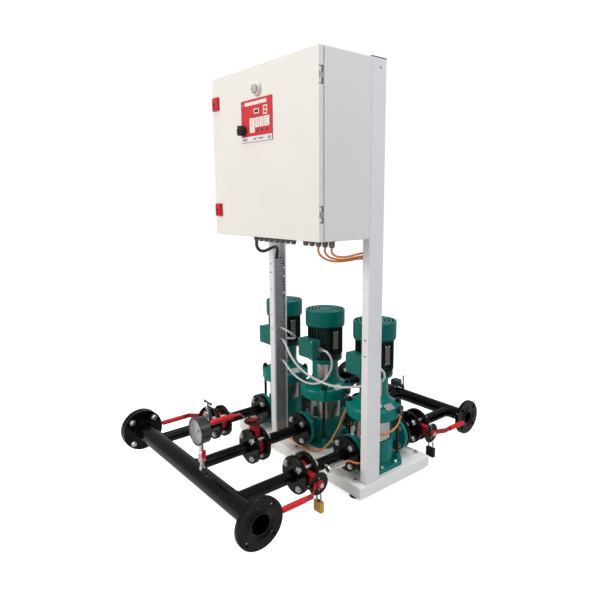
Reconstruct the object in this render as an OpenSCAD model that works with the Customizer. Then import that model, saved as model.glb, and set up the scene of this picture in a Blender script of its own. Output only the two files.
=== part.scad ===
// Fire pump set: three upright pumps on one base, piped between two headers, with a
// control cabinet on two columns. Millimetres, Z up. The origin is on the floor at the
// middle of the whole set, and the cabinet door and the discharge header face -Y.

/* [Base] */
// Distance from the outer pumps' axes to the ends of the base plate
base_edge = 130; // [124:1:220]
// Depth of the base plate
base_d = 440; // [400:5:560]
// Height of the base plate's folded edge
base_h = 50; // [40:1:80]
// Thickness of the base sheet
base_t = 4; // [3:0.5:6]
// Distance from the pump row back to the middle of the base
base_back = 12; // [0:1:20]
// Height of a rubber foot
foot_h = 13; // [10:1:30]
// Radius of a rubber foot
foot_r = 25; // [20:1:32]

/* [Pumps] */
// Distance between pump axes
pump_pitch = 320; // [300:5:390]
// Height of the port axis above the base plate
port_h = 90; // [88:1:120]
// Distance between the faces of a pump's two ports
port_span = 300; // [280:5:360]
// Side of the pump foot
pump_foot = 212; // [200:2:216]
// Outer radius of the stainless barrel
barrel_r = 80; // [76:1:84]
// Length of the stainless barrel
barrel_len = 97; // [80:1:300]
// Radius of the pump head's rim
head_r = 116; // [110:1:118]
// Height of the pump head up to its lantern
head_h = 99; // [90:1:120]
// Outer radius of the lantern
lantern_r = 62; // [58:1:68]
// Height of the lantern
lantern_h = 89; // [80:1:120]

/* [Motors] */
// Radius of the motor frame under its fins
motor_r = 77; // [70:1:80]
// Height of a cooling fin
fin_h = 6; // [4:1:8]
// Length of the motor from its flange to its rear shield
motor_len = 165; // [150:1:240]
// Outer radius of the fan cowl
cowl_r = 92.5; // [90:0.5:100]
// Height of the fan cowl
cowl_h = 71; // [60:1:90]
// Width of a terminal box
tbox_w = 100; // [80:1:110]
// Height of a terminal box
tbox_h = 85; // [70:1:100]
// Depth of a terminal box with its lid
tbox_d = 58; // [50:1:64]

/* [Pipework] */
// Distance from the pump row to the front header's axis
front_reach = 724; // [680:1:860]
// Distance from the pump row to the rear header's axis
rear_reach = 551; // [470:1:660]
// Distance from the pump row to the front valves
front_valve = 411; // [340:1:440]
// Distance from the pump row to the rear valves
rear_valve = 270; // [230:1:290]
// Half length of the front header over its end faces
front_half = 501; // [485:1:600]
// Half length of the rear header over its end faces
rear_half = 437; // [425:1:438]
// Outer radius of the front header pipe
front_pipe_r = 38.05; // [35:0.05:44.45]
// Outer radius of the rear header pipe
rear_pipe_r = 30.15; // [30:0.05:38.05]
// Outer radius of a branch pipe
branch_r = 24.15; // [22:0.05:26]
// Wall of every pipe
pipe_wall = 2.9; // [2:0.1:4]
// Radius of the front header flange
front_flange_r = 92.5; // [90:0.5:100]
// Bolt circle of the front header flange
front_pcd = 145; // [140:1:150]
// Radius of the rear header flange
rear_flange_r = 82.5; // [80:0.5:88]
// Bolt circle of the rear header flange
rear_pcd = 125; // [120:1:130]
// Radius of a branch flange
branch_flange_r = 75; // [72:0.5:78]
// Bolt circle of a branch flange
branch_pcd = 110; // [106:1:114]
// Thickness of every flange
flange_t = 18; // [14:1:22]
// Radius of a flange bolt hole
flange_hole_r = 9; // [8.5:0.1:10]
// Holes at the closed -X ends, drilled to the usual clearance of the bolt and not to the flange standard
end_hole_r = 8.75; // [8.5:0.05:10]

/* [Valves] */
// Thickness of a valve body between its flanges
valve_t = 33; // [30:1:40]
// Height of a valve's neck above the pipe axis
valve_neck = 108; // [100:1:120]
// Length of a lever from its stem
lever_len = 212; // [190:1:214]
// Length of a lever's grip
grip_len = 107; // [90:1:120]
// Rise of a front lever above its hub
front_crank = 45; // [20:1:50]
// Rise of a rear lever above its hub
rear_crank = 20; // [20:1:50]

/* [Columns] */
// Width of a column across the set
column_w = 38; // [35:1:42]
// Depth of a column
column_d = 78; // [70:1:78]
// Thickness of the column sheet
column_t = 3; // [2:0.5:4]
// Distance over the two columns
column_span = 660; // [620:1:700]
// Distance from the pump row to the columns' front faces
column_front = 172; // [172:1:180]

/* [Cabinet] */
// Width of the cabinet
cab_w = 700; // [640:5:900]
// Height of the cabinet
cab_h = 650; // [540:5:800]
// Depth of the cabinet with its door
cab_d = 250; // [220:5:320]
// Height of the cabinet's underside above the floor
cab_z = 1066; // [1000:1:1200]
// Thickness of the cabinet sheet
cab_t = 2; // [1.5:0.1:2.5]
// Depth of the door's folded edge
door_t = 19; // [19:1:24]
// Gap between the door and the cabinet
door_gap = 4; // [4:0.5:6]

/* [Panel] */
// Width of the red control panel
panel_w = 209; // [190:1:240]
// Height of the red control panel
panel_h = 160; // [140:1:200]
// Thickness of the red control panel
panel_t = 3; // [2:0.5:5]
// Travel of a push button
button_travel = 3; // [2:0.5:3]

/* [Hidden] */
$fn = 64;
pumps = [0, 1, 2];
valves = [0, 1, 2, 3, 4, 5];
function pump_x(k) = (k - 1) * pump_pitch;
row_y = (front_reach + front_flange_r - rear_reach - rear_flange_r) / 2;
row_x = 5;
base_w = 2 * (pump_pitch + base_edge);
base_top = foot_h + base_h;
axis_z = base_top + port_h;

// Running and seating clearances
run = 0.05;
seat = 0.3;

// Flange bolts
bolt_r = 8;
bolt_af = 24;
nut_t = 13;
head_t = 10;
face_t = 2;
branch_bore = branch_r - pipe_wall;
port_face = port_span / 2;

// Levels of a pump
foot_t = 20;
foot_top = base_top + foot_t;
bowl_r = barrel_r + 8;
bowl_top = axis_z + 37;
head_z = bowl_top + barrel_len;
lantern_z = head_z + head_h;
motor_z = lantern_z + lantern_h;
shield_t = 12;
cowl_z = motor_z + motor_len - 4;
shaft_r = 12;
pump_shaft_r = 9;
tie_r = 7;
tie_at = 75;
lug_r = 15;
lug_h = 58;
foot_cut = 34;

// Terminal boxes
tbox_y = -motor_r + 11;
tgland_y = -80;
tbox_z = motor_z + 18;
tgland_z = tbox_z + 40;

// Columns and cabinet
left_x = base_w / 2 - 1 - column_span;
right_x = base_w / 2 - 1;
column_top = cab_z + cab_h;
cap_t = 4;
cab_x = right_x - cab_w;
cab_back = -column_front;
cab_front = cab_back - cab_d + door_t + door_gap;
door_back = cab_front - door_gap;
door_front = door_back - door_t;
rim = 20;
lip = 9;
hinge_x = right_x - 5;
hinge_y = door_front + 8;
hinge_z = [cab_z + 95, cab_z + cab_h - 95];
hinge_pin_r = 3;
tongue_y = cab_front + cab_t + 2.5;
tongue_t = 3;
lock_x = cab_x + 35;
lock_z = [cab_z + 105, cab_z + cab_h - 105];
lock_w = 46;
lock_h = 54;

// Door fittings
panel_x = right_x - 472;
panel_z = cab_z + cab_h - 281;
button_r = 5.2;
button_x = [panel_x + 109, panel_x + 141, panel_x + 171];
button_z = panel_z + 42;
switch_x = panel_x + 17;
switch_z = panel_z + 47;
lamp_x = panel_x + 113;
lamp_z = panel_z + 192;
plate_y = cab_back - 16;
device_d = 84;

// Glands under the cabinet
gland_y = cab_back - 120;
gland_x = concat([for (i = [0 : 6]) right_x - 578 + 38 * i], [right_x - 312],
    [for (i = [0 : 4]) right_x - 232 + 38 * i]);
gland_drop = 32;

// Instruments
gauge_x = 105;
gauge_z = axis_z + 195;
gauge_r = 50;
gauge_y = -front_reach;
cock_z = axis_z + front_pipe_r + 32;
vent_y = -(front_valve + valve_t / 2 + flange_t + 16);
vent_z = axis_z + branch_r;
sensor_x = pump_x(2) + branch_r + 28;
sensor_y = -(front_valve - valve_t / 2 - flange_t - 74);
switch_at = [-28, rear_reach];
duct_w = 24;
duct_d = 56;
duct_low = base_top + 60;
duct_high = cab_z - 126;
left_duct_y = -column_front + column_t + 8;

// Valve k of six: pump, side (-1 front, 1 rear), turn of the neck, rise of the lever
function valve_pump(i) = i % 3;
function valve_side(i) = i < 3 ? -1 : 1;
function valve_y(i) = i < 3 ? -front_valve : rear_valve;
function valve_turn(i) = [-90, 0, 90][valve_pump(i)];
function valve_crank(i) = i < 3 ? front_crank : rear_crank;
disc_r = branch_bore - 1.4;
seat_r = disc_r + 0.2;
stem_r = 6;
notch_t = 4;
hub_z = valve_neck + notch_t + 1;

// Routes of the free cables, measured from the pump row, as chosen by hand
lead_d = 14;
supply_route = [[-129, -292, 1034], [-129, -292, 1012], [-134, -276, 992], [-142, -248, 984],
    [-150, -216, 988], [-158, -184, 996], [-170, -153, 994], [-184, -138, 980],
    [-193, -133, 958], [-196, -133, 936], [-196, -133, 925]];
motor_d = 10;
motor_routes = [
    [[-184, -128, 600], [-168, -128, 600], [-148, -122, 594], [-134, -104, 580],
        [-134, -82, 563], [-148, -66, 548], [-174, -62, 538], [-202, -68, 534],
        [-226, -80, 533], [-243, -80, 533]],
    [[-184, -128, 440], [-168, -128, 440], [-140, -130, 428], [-104, -130, 404],
        [-64, -126, 384], [-22, -120, 372], [22, -114, 370], [62, -106, 378],
        [96, -94, 398], [116, -80, 430], [124, -70, 466], [122, -70, 500],
        [112, -78, 524], [96, -80, 533], [77, -80, 533]],
    [[-184, -128, 545], [-168, -128, 545], [-146, -132, 536], [-116, -138, 512],
        [-84, -142, 484], [-44, -145, 458], [4, -147, 438], [60, -147, 424],
        [120, -145, 416], [180, -142, 414], [236, -138, 418], [288, -130, 428],
        [334, -116, 440], [372, -100, 452], [406, -80, 464], [432, -68, 482],
        [440, -66, 508], [430, -73, 528], [414, -80, 533], [397, -80, 533]]];
sense_d = 8;
tail_routes = [
    [[293, -292, 1034], [293, -292, 1014], [298, -278, 994], [314, -256, 980],
        [338, -228, 976], [364, -200, 980], [388, -174, 986], [406, -156, 986],
        [420, -149, 975], [430, -148, 956], [434, -148, 936], [434, -148, 926]],
    [[331, -292, 1034], [331, -292, 1016], [336, -278, 998], [350, -254, 988],
        [370, -224, 986], [388, -192, 992], [402, -162, 996], [412, -145, 990],
        [422, -138, 974], [430, -136, 954], [434, -136, 934], [434, -136, 926]],
    [[369, -292, 1034], [369, -292, 1018], [373, -278, 1004], [382, -252, 998],
        [392, -220, 1000], [400, -186, 1006], [404, -158, 1008], [409, -138, 1000],
        [418, -127, 982], [428, -124, 960], [433, -124, 940], [434, -124, 926]]];
sense_routes = [
    [[127, 30, 318], [127, 30, 300], [136, 18, 272], [144, -6, 236], [148, -36, 196],
        [148, -66, 156], [142, -94, 120], [128, -118, 92], [104, -136, 74], [72, -146, 69],
        [32, -151, 68], [-12, -153, 68], [-56, -151, 68], [-98, -145, 69], [-134, -138, 74],
        [-164, -134, 84], [-184, -133, 102], [-194, -133, 122], [-196, -133, 140]],
    [[447, 30, 318], [447, 30, 302], [452, 14, 282], [455, -8, 268], [452, -34, 258],
        [442, -58, 250], [424, -76, 246], [408, -88, 243], [392, -98, 241], [378, -110, 240],
        [373, -124, 240], [379, -136, 240], [394, -142, 240], [408, -142, 240],
        [422, -142, 240]],
    [[372, -224, 153], [372, -208, 153], [377, -195, 150], [389, -184, 145],
        [400, -173, 143], [403, -160, 141], [410, -148, 140], [422, -148, 140]]];

// Puts what is drawn from the pump row into the part's frame
module placed() { translate([row_x, row_y, 0]) children(); }

module along_x(at) { translate(at) rotate([0, 90, 0]) children(); }
module along_y(at) { translate(at) rotate([-90, 0, 0]) children(); }
module block(low, high) { translate(low) cube(high - low); }
module tube(r, bore, h) {
    difference() {
        cylinder(h = h, r = r);
        translate([0, 0, -1]) cylinder(h = h + 2, r = bore);
    }
}
module hexagon(af, h) { cylinder(h = h, r = af / sqrt(3), $fn = 6); }

// Four places on a bolt circle, turned between the axes
module on_circle(pcd) {
    for (a = [45 : 90 : 315]) rotate([0, 0, a]) translate([pcd / 2, 0, 0]) children();
}

// A flange on +Z with its raised face at z = 0 looking down
module flange(r, pcd, face_r, bore, hole_r = flange_hole_r) {
    difference() {
        union() {
            translate([0, 0, face_t]) cylinder(h = flange_t - face_t, r = r);
            cylinder(h = face_t + 1, r = face_r);
        }
        translate([0, 0, -1]) cylinder(h = flange_t + 2, r = bore);
        on_circle(pcd) translate([0, 0, -1]) cylinder(h = flange_t + 2, r = hole_r);
    }
}
module branch_flange() { flange(branch_flange_r, branch_pcd, 44, branch_bore); }

// A bolt on +Z from z = 0 to the far side of its grip, with a nut and a short end
module flange_bolt(grip) {
    translate([0, 0, -head_t]) hexagon(bolt_af, head_t);
    translate([0, 0, -1]) cylinder(h = grip + nut_t + 5, r = bolt_r);
    translate([0, 0, grip]) hexagon(bolt_af, nut_t);
}
module flange_stud(grip) {
    translate([0, 0, -nut_t]) hexagon(bolt_af, nut_t);
    translate([0, 0, -nut_t - 4]) cylinder(h = grip + 2 * nut_t + 8, r = bolt_r);
    translate([0, 0, grip]) hexagon(bolt_af, nut_t);
}
module set_bolt(shank_r, af, grip) {
    cylinder(h = grip + 3, r = shank_r);
    translate([0, 0, grip]) cylinder(h = 2, r = af * 0.62);
    translate([0, 0, grip + 2]) hexagon(af, af * 0.45);
}

// Base

foot_x = base_w / 2 - 55;
foot_y = base_d / 2 - 27;
foot_places = [for (x = [-foot_x, 0, foot_x]) for (y = [-foot_y, foot_y]) [x, base_back + y]];
pump_bolts = [for (k = pumps) for (x = [-1, 1]) for (y = [-1, 1])
    [pump_x(k) + x * (pump_foot / 2 - 13), y * 42]];
column_bolt_y = [-column_front + 20, -column_front + column_d - 20];
left_bolt_x = left_x + column_w / 2;
right_bolt_x = right_x - column_w / 2;

module base_frame() {
    color("whitesmoke") difference() {
        block([-base_w / 2, base_back - base_d / 2, foot_h],
            [base_w / 2, base_back + base_d / 2, base_top]);
        for (x = [-1, 0, 1]) {
            bay = (base_w - 4 * base_t) / 3;
            translate([x * (bay + base_t) - bay / 2, base_back - base_d / 2 + base_t, foot_h - 1])
                cube([bay, base_d - 2 * base_t, base_h - base_t + 1]);
        }
        for (p = foot_places) translate([p.x, p.y, foot_h - 1]) cylinder(h = base_h + 2, r = 5.25);
        for (p = pump_bolts) translate([p.x, p.y, foot_h + 1]) cylinder(h = base_h, r = 5.25);
        for (y = column_bolt_y) for (x = [left_bolt_x, right_bolt_x])
            translate([x, y, foot_h + 1]) cylinder(h = base_h, r = 5.25);
    }
}

// A rubber foot with its moulded-in bush, drilled for the bolt that holds it
module base_feet() {
    color("black") for (p = foot_places) translate([p.x, p.y, 0]) difference() {
        union() {
            cylinder(h = foot_h, r1 = foot_r, r2 = foot_r - 3);
            translate([0, 0, foot_h - 1]) cylinder(h = base_h - base_t + 1, r = 11);
        }
        translate([0, 0, 4]) cylinder(h = base_h + foot_h, r = 5.25);
    }
}

// Columns

// A channel that opens towards +X, with turned lips, a foot plate and tie slots
slot_z = [600, 666, 790, 872, 913];
module channel() {
    difference() {
        union() {
            difference() {
                cube([column_w, column_d, column_top - base_top]);
                translate([column_t, column_t, -1])
                    cube([column_w, column_d - 2 * column_t, column_top - base_top + 2]);
            }
            for (y = [0, column_d - 9]) translate([column_w - column_t, y, 0])
                cube([column_t, 9, column_top - base_top]);
            translate([1, 1, 0]) cube([column_w - 2, column_d - 2, 5]);
        }
        for (z = slot_z) translate([column_w / 2 - 6, -1, z - base_top])
            cube([12, column_t + 2, 5]);
        for (z = slot_z) translate([column_w / 2 - 6, column_d - column_t - 1, z - base_top - 25])
            cube([12, column_t + 2, 5]);
        translate([-1, column_d / 2 + 6, column_top - base_top - 32]) rotate([0, 90, 0])
            cylinder(h = column_t + 2, r = 5);
        for (y = column_bolt_y) translate([column_w / 2, y + column_front, -1])
            cylinder(h = 8, r = 5.25);
        for (z = cab_bolt_z) translate([column_w / 2, -1, z - base_top]) rotate([-90, 0, 0])
            cylinder(h = column_t + 2, r = 4.25);
    }
}
cab_bolt_z = [cab_z + 120, cab_z + cab_h - 120];
module column_left() {
    color("gainsboro") translate([left_x, -column_front, base_top]) channel();
}
module column_right() {
    color("gainsboro") translate([right_x, -column_front, base_top]) mirror([1, 0, 0]) channel();
}

// Plastic trunking in each column, where the cables go in at the top and come out low down
module duct(x) {
    color("dimgray") translate([x, left_duct_y, duct_low]) difference() {
        cube([duct_w, duct_d, duct_high - duct_low]);
        translate([2, 2, -1]) cube([duct_w - 4, duct_d - 4, duct_high - duct_low + 2]);
    }
}
module cable_ducts() {
    duct(left_x + column_t);
    duct(right_x - column_t - duct_w);
}

// Every bolt of the frame, and the caps that close the column tops
module frame_fixings() {
    color("silver") {
        for (p = foot_places) translate([p.x, p.y, foot_h - 5]) set_bolt(5, 17, base_h + 5);
        for (p = pump_bolts) translate([p.x, p.y, base_top - 20]) {
            set_bolt(5, 17, foot_t + 20);
            translate([0, 0, 20 - base_t - 8]) hexagon(17, 8);
        }
        for (y = column_bolt_y) for (x = [left_bolt_x, right_bolt_x])
            translate([x, y, base_top - 20]) {
                set_bolt(5, 17, 25);
                translate([0, 0, 20 - base_t - 8]) hexagon(17, 8);
            }
        for (z = cab_bolt_z) for (x = [left_bolt_x, right_bolt_x])
            translate([x, -column_front - cab_t, z]) rotate([-90, 0, 0]) {
                set_bolt(4, 13, cab_t + column_t);
                translate([0, 0, -5]) hexagon(13, 5);
            }
    }
    color("black") for (x = [left_x, right_x - column_w])
        block([x, -column_front, column_top], [x + column_w, -column_front + column_d,
            column_top + cap_t]);
}

// Cabinet

module cabinet_body() {
    color("ghostwhite") difference() {
        union() {
            difference() {
                block([cab_x, cab_front, cab_z], [right_x, cab_back, cab_z + cab_h]);
                block([cab_x + cab_t, cab_front - 1, cab_z + cab_t],
                    [right_x - cab_t, cab_back - cab_t, cab_z + cab_h - cab_t]);
            }
            difference() {
                block([cab_x + 1, cab_front, cab_z + 1],
                    [right_x - 1, cab_front + cab_t, cab_z + cab_h - 1]);
                block([cab_x + rim, cab_front - 1, cab_z + rim],
                    [right_x - rim, cab_front + cab_t + 1, cab_z + cab_h - rim]);
            }
            difference() {
                block([cab_x + rim - cab_t, cab_front - lip, cab_z + rim - cab_t],
                    [right_x - rim + cab_t, cab_front + 1, cab_z + cab_h - rim + cab_t]);
                block([cab_x + rim, cab_front - lip - 1, cab_z + rim],
                    [right_x - rim, cab_front + 2, cab_z + cab_h - rim]);
            }
            for (x = [cab_x + 60, right_x - 60]) for (z = [cab_z + 60, cab_z + cab_h - 60])
                along_y([x, plate_y, z]) cylinder(h = cab_back - plate_y - 1, r = 6);
        }
        for (x = gland_x) translate([x, gland_y, cab_z - 1]) cylinder(h = cab_t + 2, r = 10.2);
        for (z = cab_bolt_z) for (x = [left_bolt_x, right_bolt_x])
            along_y([x, cab_back - cab_t - 1, z]) cylinder(h = cab_t + 2, r = 4.25);
    }
}

module mounting_plate() {
    color("silver") difference() {
        block([cab_x + 40, plate_y - 2, cab_z + 40], [right_x - 40, plate_y, cab_z + cab_h - 40]);
        for (x = [cab_x + 60, right_x - 60]) for (z = [cab_z + 60, cab_z + cab_h - 60])
            along_y([x, plate_y - 3, z]) cylinder(h = 4, r = 3);
    }
}

// Row of switchgear: breakers, contactors, the controller, terminals and their ducts
module cabinet_devices() {
    y = plate_y - 2;
    top = cab_z + cab_h - 130;
    color("dimgray") {
        for (i = [0 : 3]) block([cab_x + 90 + 62 * i, y - 70, top - 95],
            [cab_x + 136 + 62 * i, y, top]);
        for (i = [0 : 2]) block([cab_x + 90 + 62 * i, y - device_d, top - 250],
            [cab_x + 136 + 62 * i, y, top - 165]);
        block([right_x - 290, y - 60, top - 130], [right_x - 150, y, top]);
        block([right_x - 130, y - 75, top - 110], [right_x - 80, y, top - 10]);
    }
    color("lightgray") {
        for (z = [top + 30, top - 160, top - 330]) block([cab_x + 70, y - 50, z],
            [right_x - 70, y, z + 26]);
        block([cab_x + 90, y - 45, cab_z + 90], [right_x - 90, y, cab_z + 140]);
    }
}

// Seal in the door that the cabinet's lip presses into
module door_gasket() {
    x0 = cab_x + rim - 6;
    x1 = right_x - rim + 6;
    color("black") difference() {
        block([x0, door_front + cab_t, cab_z + rim - 6],
            [x1, cab_front - lip - seat, cab_z + cab_h - rim + 6]);
        block([x0 + 10, door_front - 1, cab_z + rim + 4],
            [x1 - 10, cab_front, cab_z + cab_h - rim - 4]);
    }
}

// The hinge knuckles stand in the door's folded edge, two to each hinge
module knuckles(z) {
    for (s = [-1, 1]) translate([hinge_x, hinge_y, z + s * 18 - 7]) difference() {
        union() {
            cylinder(h = 14, r = 5);
            translate([-5, -7, 0]) cube([10, 7, 14]);
        }
        translate([0, 0, -1]) cylinder(h = 16, r = hinge_pin_r + run);
    }
}
module cabinet_door() {
    z1 = cab_z + cab_h;
    color("oldlace") {
        difference() {
            block([cab_x, door_front, cab_z], [right_x, door_back, z1]);
            block([cab_x + cab_t, door_front + cab_t, cab_z + cab_t],
                [right_x - cab_t, door_back + 1, z1 - cab_t]);
            for (z = hinge_z) block([right_x - cab_t - 1, hinge_y - 7, z - 30],
                [right_x + 1, door_back + 1, z + 30]);
            for (z = lock_z) along_y([lock_x, door_front - 1, z]) cylinder(h = cab_t + 2, r = 10.1);
            along_y([lamp_x, door_front - 1, lamp_z]) cylinder(h = cab_t + 2, r = 11.2);
            along_y([switch_x, door_front - 1, switch_z]) cylinder(h = cab_t + 2, r = 6);
            block([panel_x + 45, door_front - 1, panel_z + 25],
                [panel_x + panel_w - 20, door_front + cab_t + 1, panel_z + panel_h - 28]);
        }
        for (z = hinge_z) knuckles(z);
    }
}

// A pin and the arm that carries it off the cabinet's front rim
module door_hinges() {
    color("silver") for (z = hinge_z) {
        translate([hinge_x, hinge_y, z - 26]) cylinder(h = 52, r = hinge_pin_r);
        translate([hinge_x, hinge_y, z - 10]) cylinder(h = 20, r = 4.4);
        block([hinge_x - 2, hinge_y, z - 10], [hinge_x + 2, cab_front, z + 10]);
    }
}

// Red case of a door lock
module lock_cases() {
    color("crimson") for (z = lock_z) difference() {
        union() {
            block([lock_x - lock_w / 2, door_front - 12, z - lock_h / 2],
                [lock_x + lock_w / 2, door_front, z + lock_h / 2]);
            along_y([lock_x, door_front - 1, z]) cylinder(h = 15, r = 10);
        }
        along_y([lock_x, door_front - 30, z]) cylinder(h = 60, r = 7 + run);
    }
}

// Keyed plug of a lock; its tongue rests upright and turns to behind the cabinet's rim
module lock_plug(z) {
    color("black") {
        along_y([lock_x, door_front - 14, z]) difference() {
            cylinder(h = tongue_y + tongue_t - door_front + 14, r = 7);
            translate([0, 0, -1]) cylinder(h = 8, r = 4.6, $fn = 3);
        }
        block([lock_x - 6, tongue_y, z - 6], [lock_x + 6, tongue_y + tongue_t, z + 30]);
    }
}
module door_lock_upper() { lock_plug(lock_z[1]); }
module door_lock_lower() { lock_plug(lock_z[0]); }

// Red front of the controls
module control_panel() {
    color("crimson") difference() {
        block([panel_x, door_front - panel_t, panel_z],
            [panel_x + panel_w, door_front, panel_z + panel_h]);
        for (x = button_x) along_y([x, door_front - panel_t - 1, button_z])
            cylinder(h = panel_t + 2, r = button_r + run);
        along_y([switch_x, door_front - panel_t - 1, switch_z])
            cylinder(h = panel_t + 2, r = 4 + run);
    }
}
module panel_button(x) {
    color("dimgray") {
        along_y([x, door_front - panel_t - 4.5, button_z]) cylinder(h = panel_t + 5, r = button_r);
        along_y([x, door_front + seat, button_z]) cylinder(h = 3, r = button_r + 1.6);
    }
}
module main_switch() {
    y = door_front - panel_t - seat;
    color("black") {
        along_y([switch_x, y - 6, switch_z]) cylinder(h = 6, r = 21);
        along_y([switch_x, y - 26, switch_z]) cylinder(h = 21, r = 14);
        block([switch_x - 5, y - 30, switch_z - 19], [switch_x + 5, y - 4, switch_z + 19]);
        along_y([switch_x, y - 1, switch_z]) cylinder(h = 24, r = 4);
    }
}
module signal_lamp() {
    color("white") {
        along_y([lamp_x, door_front - 12, lamp_z]) cylinder(h = 12, r = 25);
        along_y([lamp_x, door_front - 22, lamp_z]) cylinder(h = 11, r1 = 15, r2 = 19);
        along_y([lamp_x, door_front - 1, lamp_z]) cylinder(h = 22, r = 11);
    }
}

// Cable glands through the cabinet's underside, with a lock nut inside
module cable_glands() {
    color("dimgray") for (x = gland_x) translate([x, gland_y, 0]) difference() {
        union() {
            translate([0, 0, cab_z - 9]) hexagon(28, 9);
            translate([0, 0, cab_z - 24]) cylinder(h = 16, r = 12);
            translate([0, 0, cab_z - gland_drop]) cylinder(h = 9, r1 = 9.5, r2 = 12);
            translate([0, 0, cab_z - 1]) cylinder(h = 11, r = 10);
            translate([0, 0, cab_z + cab_t]) hexagon(26, 5);
        }
        translate([0, 0, cab_z - gland_drop + 4]) cylinder(h = 60, r = 5);
    }
}

// Pipework

// A header pipe with its three branches, welded flanges and bores, open at its +X end
module header(pipe_r, half, side, reach, valve_at, end_r, pcd) {
    bore = pipe_r - pipe_wall;
    y = side * reach;
    stub = reach - valve_at - valve_t / 2;
    difference() {
        union() {
            along_x([-half + 2 * flange_t + face_t, y, axis_z])
                cylinder(h = 2 * half - 3 * flange_t - face_t, r = pipe_r);
            translate([half, y, axis_z]) rotate([0, -90, 0]) flange(end_r, pcd, end_r - 32, bore);
            along_x([-half + flange_t + face_t, y, axis_z])
                flange(end_r, pcd, end_r - 32, bore, end_hole_r);
            for (k = pumps) translate([pump_x(k), y, axis_z]) rotate([90 * side, 0, 0]) {
                cylinder(h = stub - flange_t + 1, r = branch_r);
                translate([0, 0, stub]) mirror([0, 0, 1]) branch_flange();
            }
        }
        along_x([-half, y, axis_z]) cylinder(h = 2 * half + 2, r = bore);
        for (k = pumps) translate([pump_x(k), y, axis_z]) rotate([90 * side, 0, 0])
            cylinder(h = stub + 1, r = branch_bore);
    }
}
module front_header() {
    color("#1c1c1e") header(front_pipe_r, front_half, -1, front_reach, front_valve,
        front_flange_r, front_pcd);
}
module rear_header() {
    color("#1c1c1e") header(rear_pipe_r, rear_half, 1, rear_reach, rear_valve,
        rear_flange_r, rear_pcd);
}

// Blind flanges and their gaskets close the -X ends
module blind(half, y, r, pcd) {
    color("#1c1c1e") along_x([-half, y, axis_z]) difference() {
        cylinder(h = flange_t, r = r);
        on_circle(pcd) translate([0, 0, -1]) cylinder(h = flange_t + 2, r = end_hole_r);
    }
    color("dimgray") along_x([-half + flange_t, y, axis_z]) cylinder(h = face_t, r = r - 32);
}
module blind_flanges() {
    blind(front_half, -front_reach, front_flange_r, front_pcd);
    blind(rear_half, rear_reach, rear_flange_r, rear_pcd);
}

// Pipe pieces with two flanges, between each valve and its pump
module spool(length) {
    difference() {
        union() {
            branch_flange();
            translate([0, 0, length]) mirror([0, 0, 1]) branch_flange();
            translate([0, 0, flange_t - 1]) cylinder(h = length - 2 * flange_t + 2, r = branch_r);
        }
        translate([0, 0, -1]) cylinder(h = length + 2, r = branch_bore);
    }
}
gasket_t = 2;
module port_spools() {
    for (k = pumps) for (side = [-1, 1]) {
        valve_at = side < 0 ? front_valve : rear_valve;
        length = valve_at - valve_t / 2 - port_face - gasket_t;
        translate([pump_x(k), side * (port_face + gasket_t), axis_z]) rotate([-90 * side, 0, 0])
            color("#1c1c1e") spool(length);
        translate([pump_x(k), side * port_face, axis_z]) rotate([-90 * side, 0, 0])
            color("dimgray") tube(44, branch_bore, gasket_t);
    }
}

module flange_bolts() {
    color("silver") {
        for (k = pumps) for (side = [-1, 1]) {
            translate([pump_x(k), side * (port_face - flange_t), axis_z])
                rotate([-90 * side, 0, 0]) on_circle(branch_pcd)
                flange_bolt(2 * flange_t + gasket_t);
            valve_at = side < 0 ? front_valve : rear_valve;
            translate([pump_x(k), side * (valve_at - valve_t / 2 - flange_t), axis_z])
                rotate([-90 * side, 0, 0]) on_circle(branch_pcd)
                flange_stud(2 * flange_t + valve_t);
        }
        along_x([-front_half, -front_reach, axis_z]) on_circle(front_pcd)
            flange_bolt(2 * flange_t + face_t);
        along_x([-rear_half, rear_reach, axis_z]) on_circle(rear_pcd)
            flange_bolt(2 * flange_t + face_t);
    }
}

// Valves: pipe along Y, stem along +Z, turned about the pipe where the neck lies sideways

module at_valve(i) {
    translate([pump_x(valve_pump(i)), valve_y(i), axis_z]) rotate([0, valve_turn(i), 0]) children();
}

// Body ring with its neck and pad, and the notch plate that is bolted on the pad
notch_r = 45;
ear_at = 37;
module valve_bodies() {
    for (i = valves) at_valve(i) {
        color("firebrick") difference() {
            union() {
                rotate([90, 0, 0]) translate([0, 0, -valve_t / 2]) cylinder(h = valve_t, r = 45);
                translate([-24, -13, 38]) cube([48, 26, valve_neck - 46]);
                translate([0, 0, valve_neck - 10]) cylinder(h = 10, r = 29);
                translate([-14, -valve_t / 2, -56]) cube([28, valve_t, 20]);
            }
            rotate([90, 0, 0]) translate([0, 0, -valve_t]) cylinder(h = 2 * valve_t, r = seat_r);
            translate([0, 0, -34]) cylinder(h = valve_neck + 40, r = stem_r + run);
        }
        color("#1c1c1e") translate([0, 0, valve_neck]) difference() {
            cylinder(h = notch_t, r = notch_r);
            translate([0, 0, -1]) cylinder(h = notch_t + 2, r = stem_r + 1);
            for (x = [-ear_at, ear_at]) translate([x, 0, -1]) cylinder(h = notch_t + 2, r = 4.5);
            for (a = [20 : 20 : 160]) rotate([0, 0, a + 90]) translate([notch_r, 0, -1])
                cylinder(h = notch_t + 2, r = 3.5);
        }
    }
}

// Disc and stem, drawn open, with the disc in line with the pipe
module valve_disc(i) {
    color("silver") at_valve(i) {
        rotate([0, 90, 0]) translate([0, 0, -2.5]) cylinder(h = 5, r = disc_r);
        translate([0, 0, -33]) cylinder(h = hub_z + 33 + 14, r = stem_r);
    }
}

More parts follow.
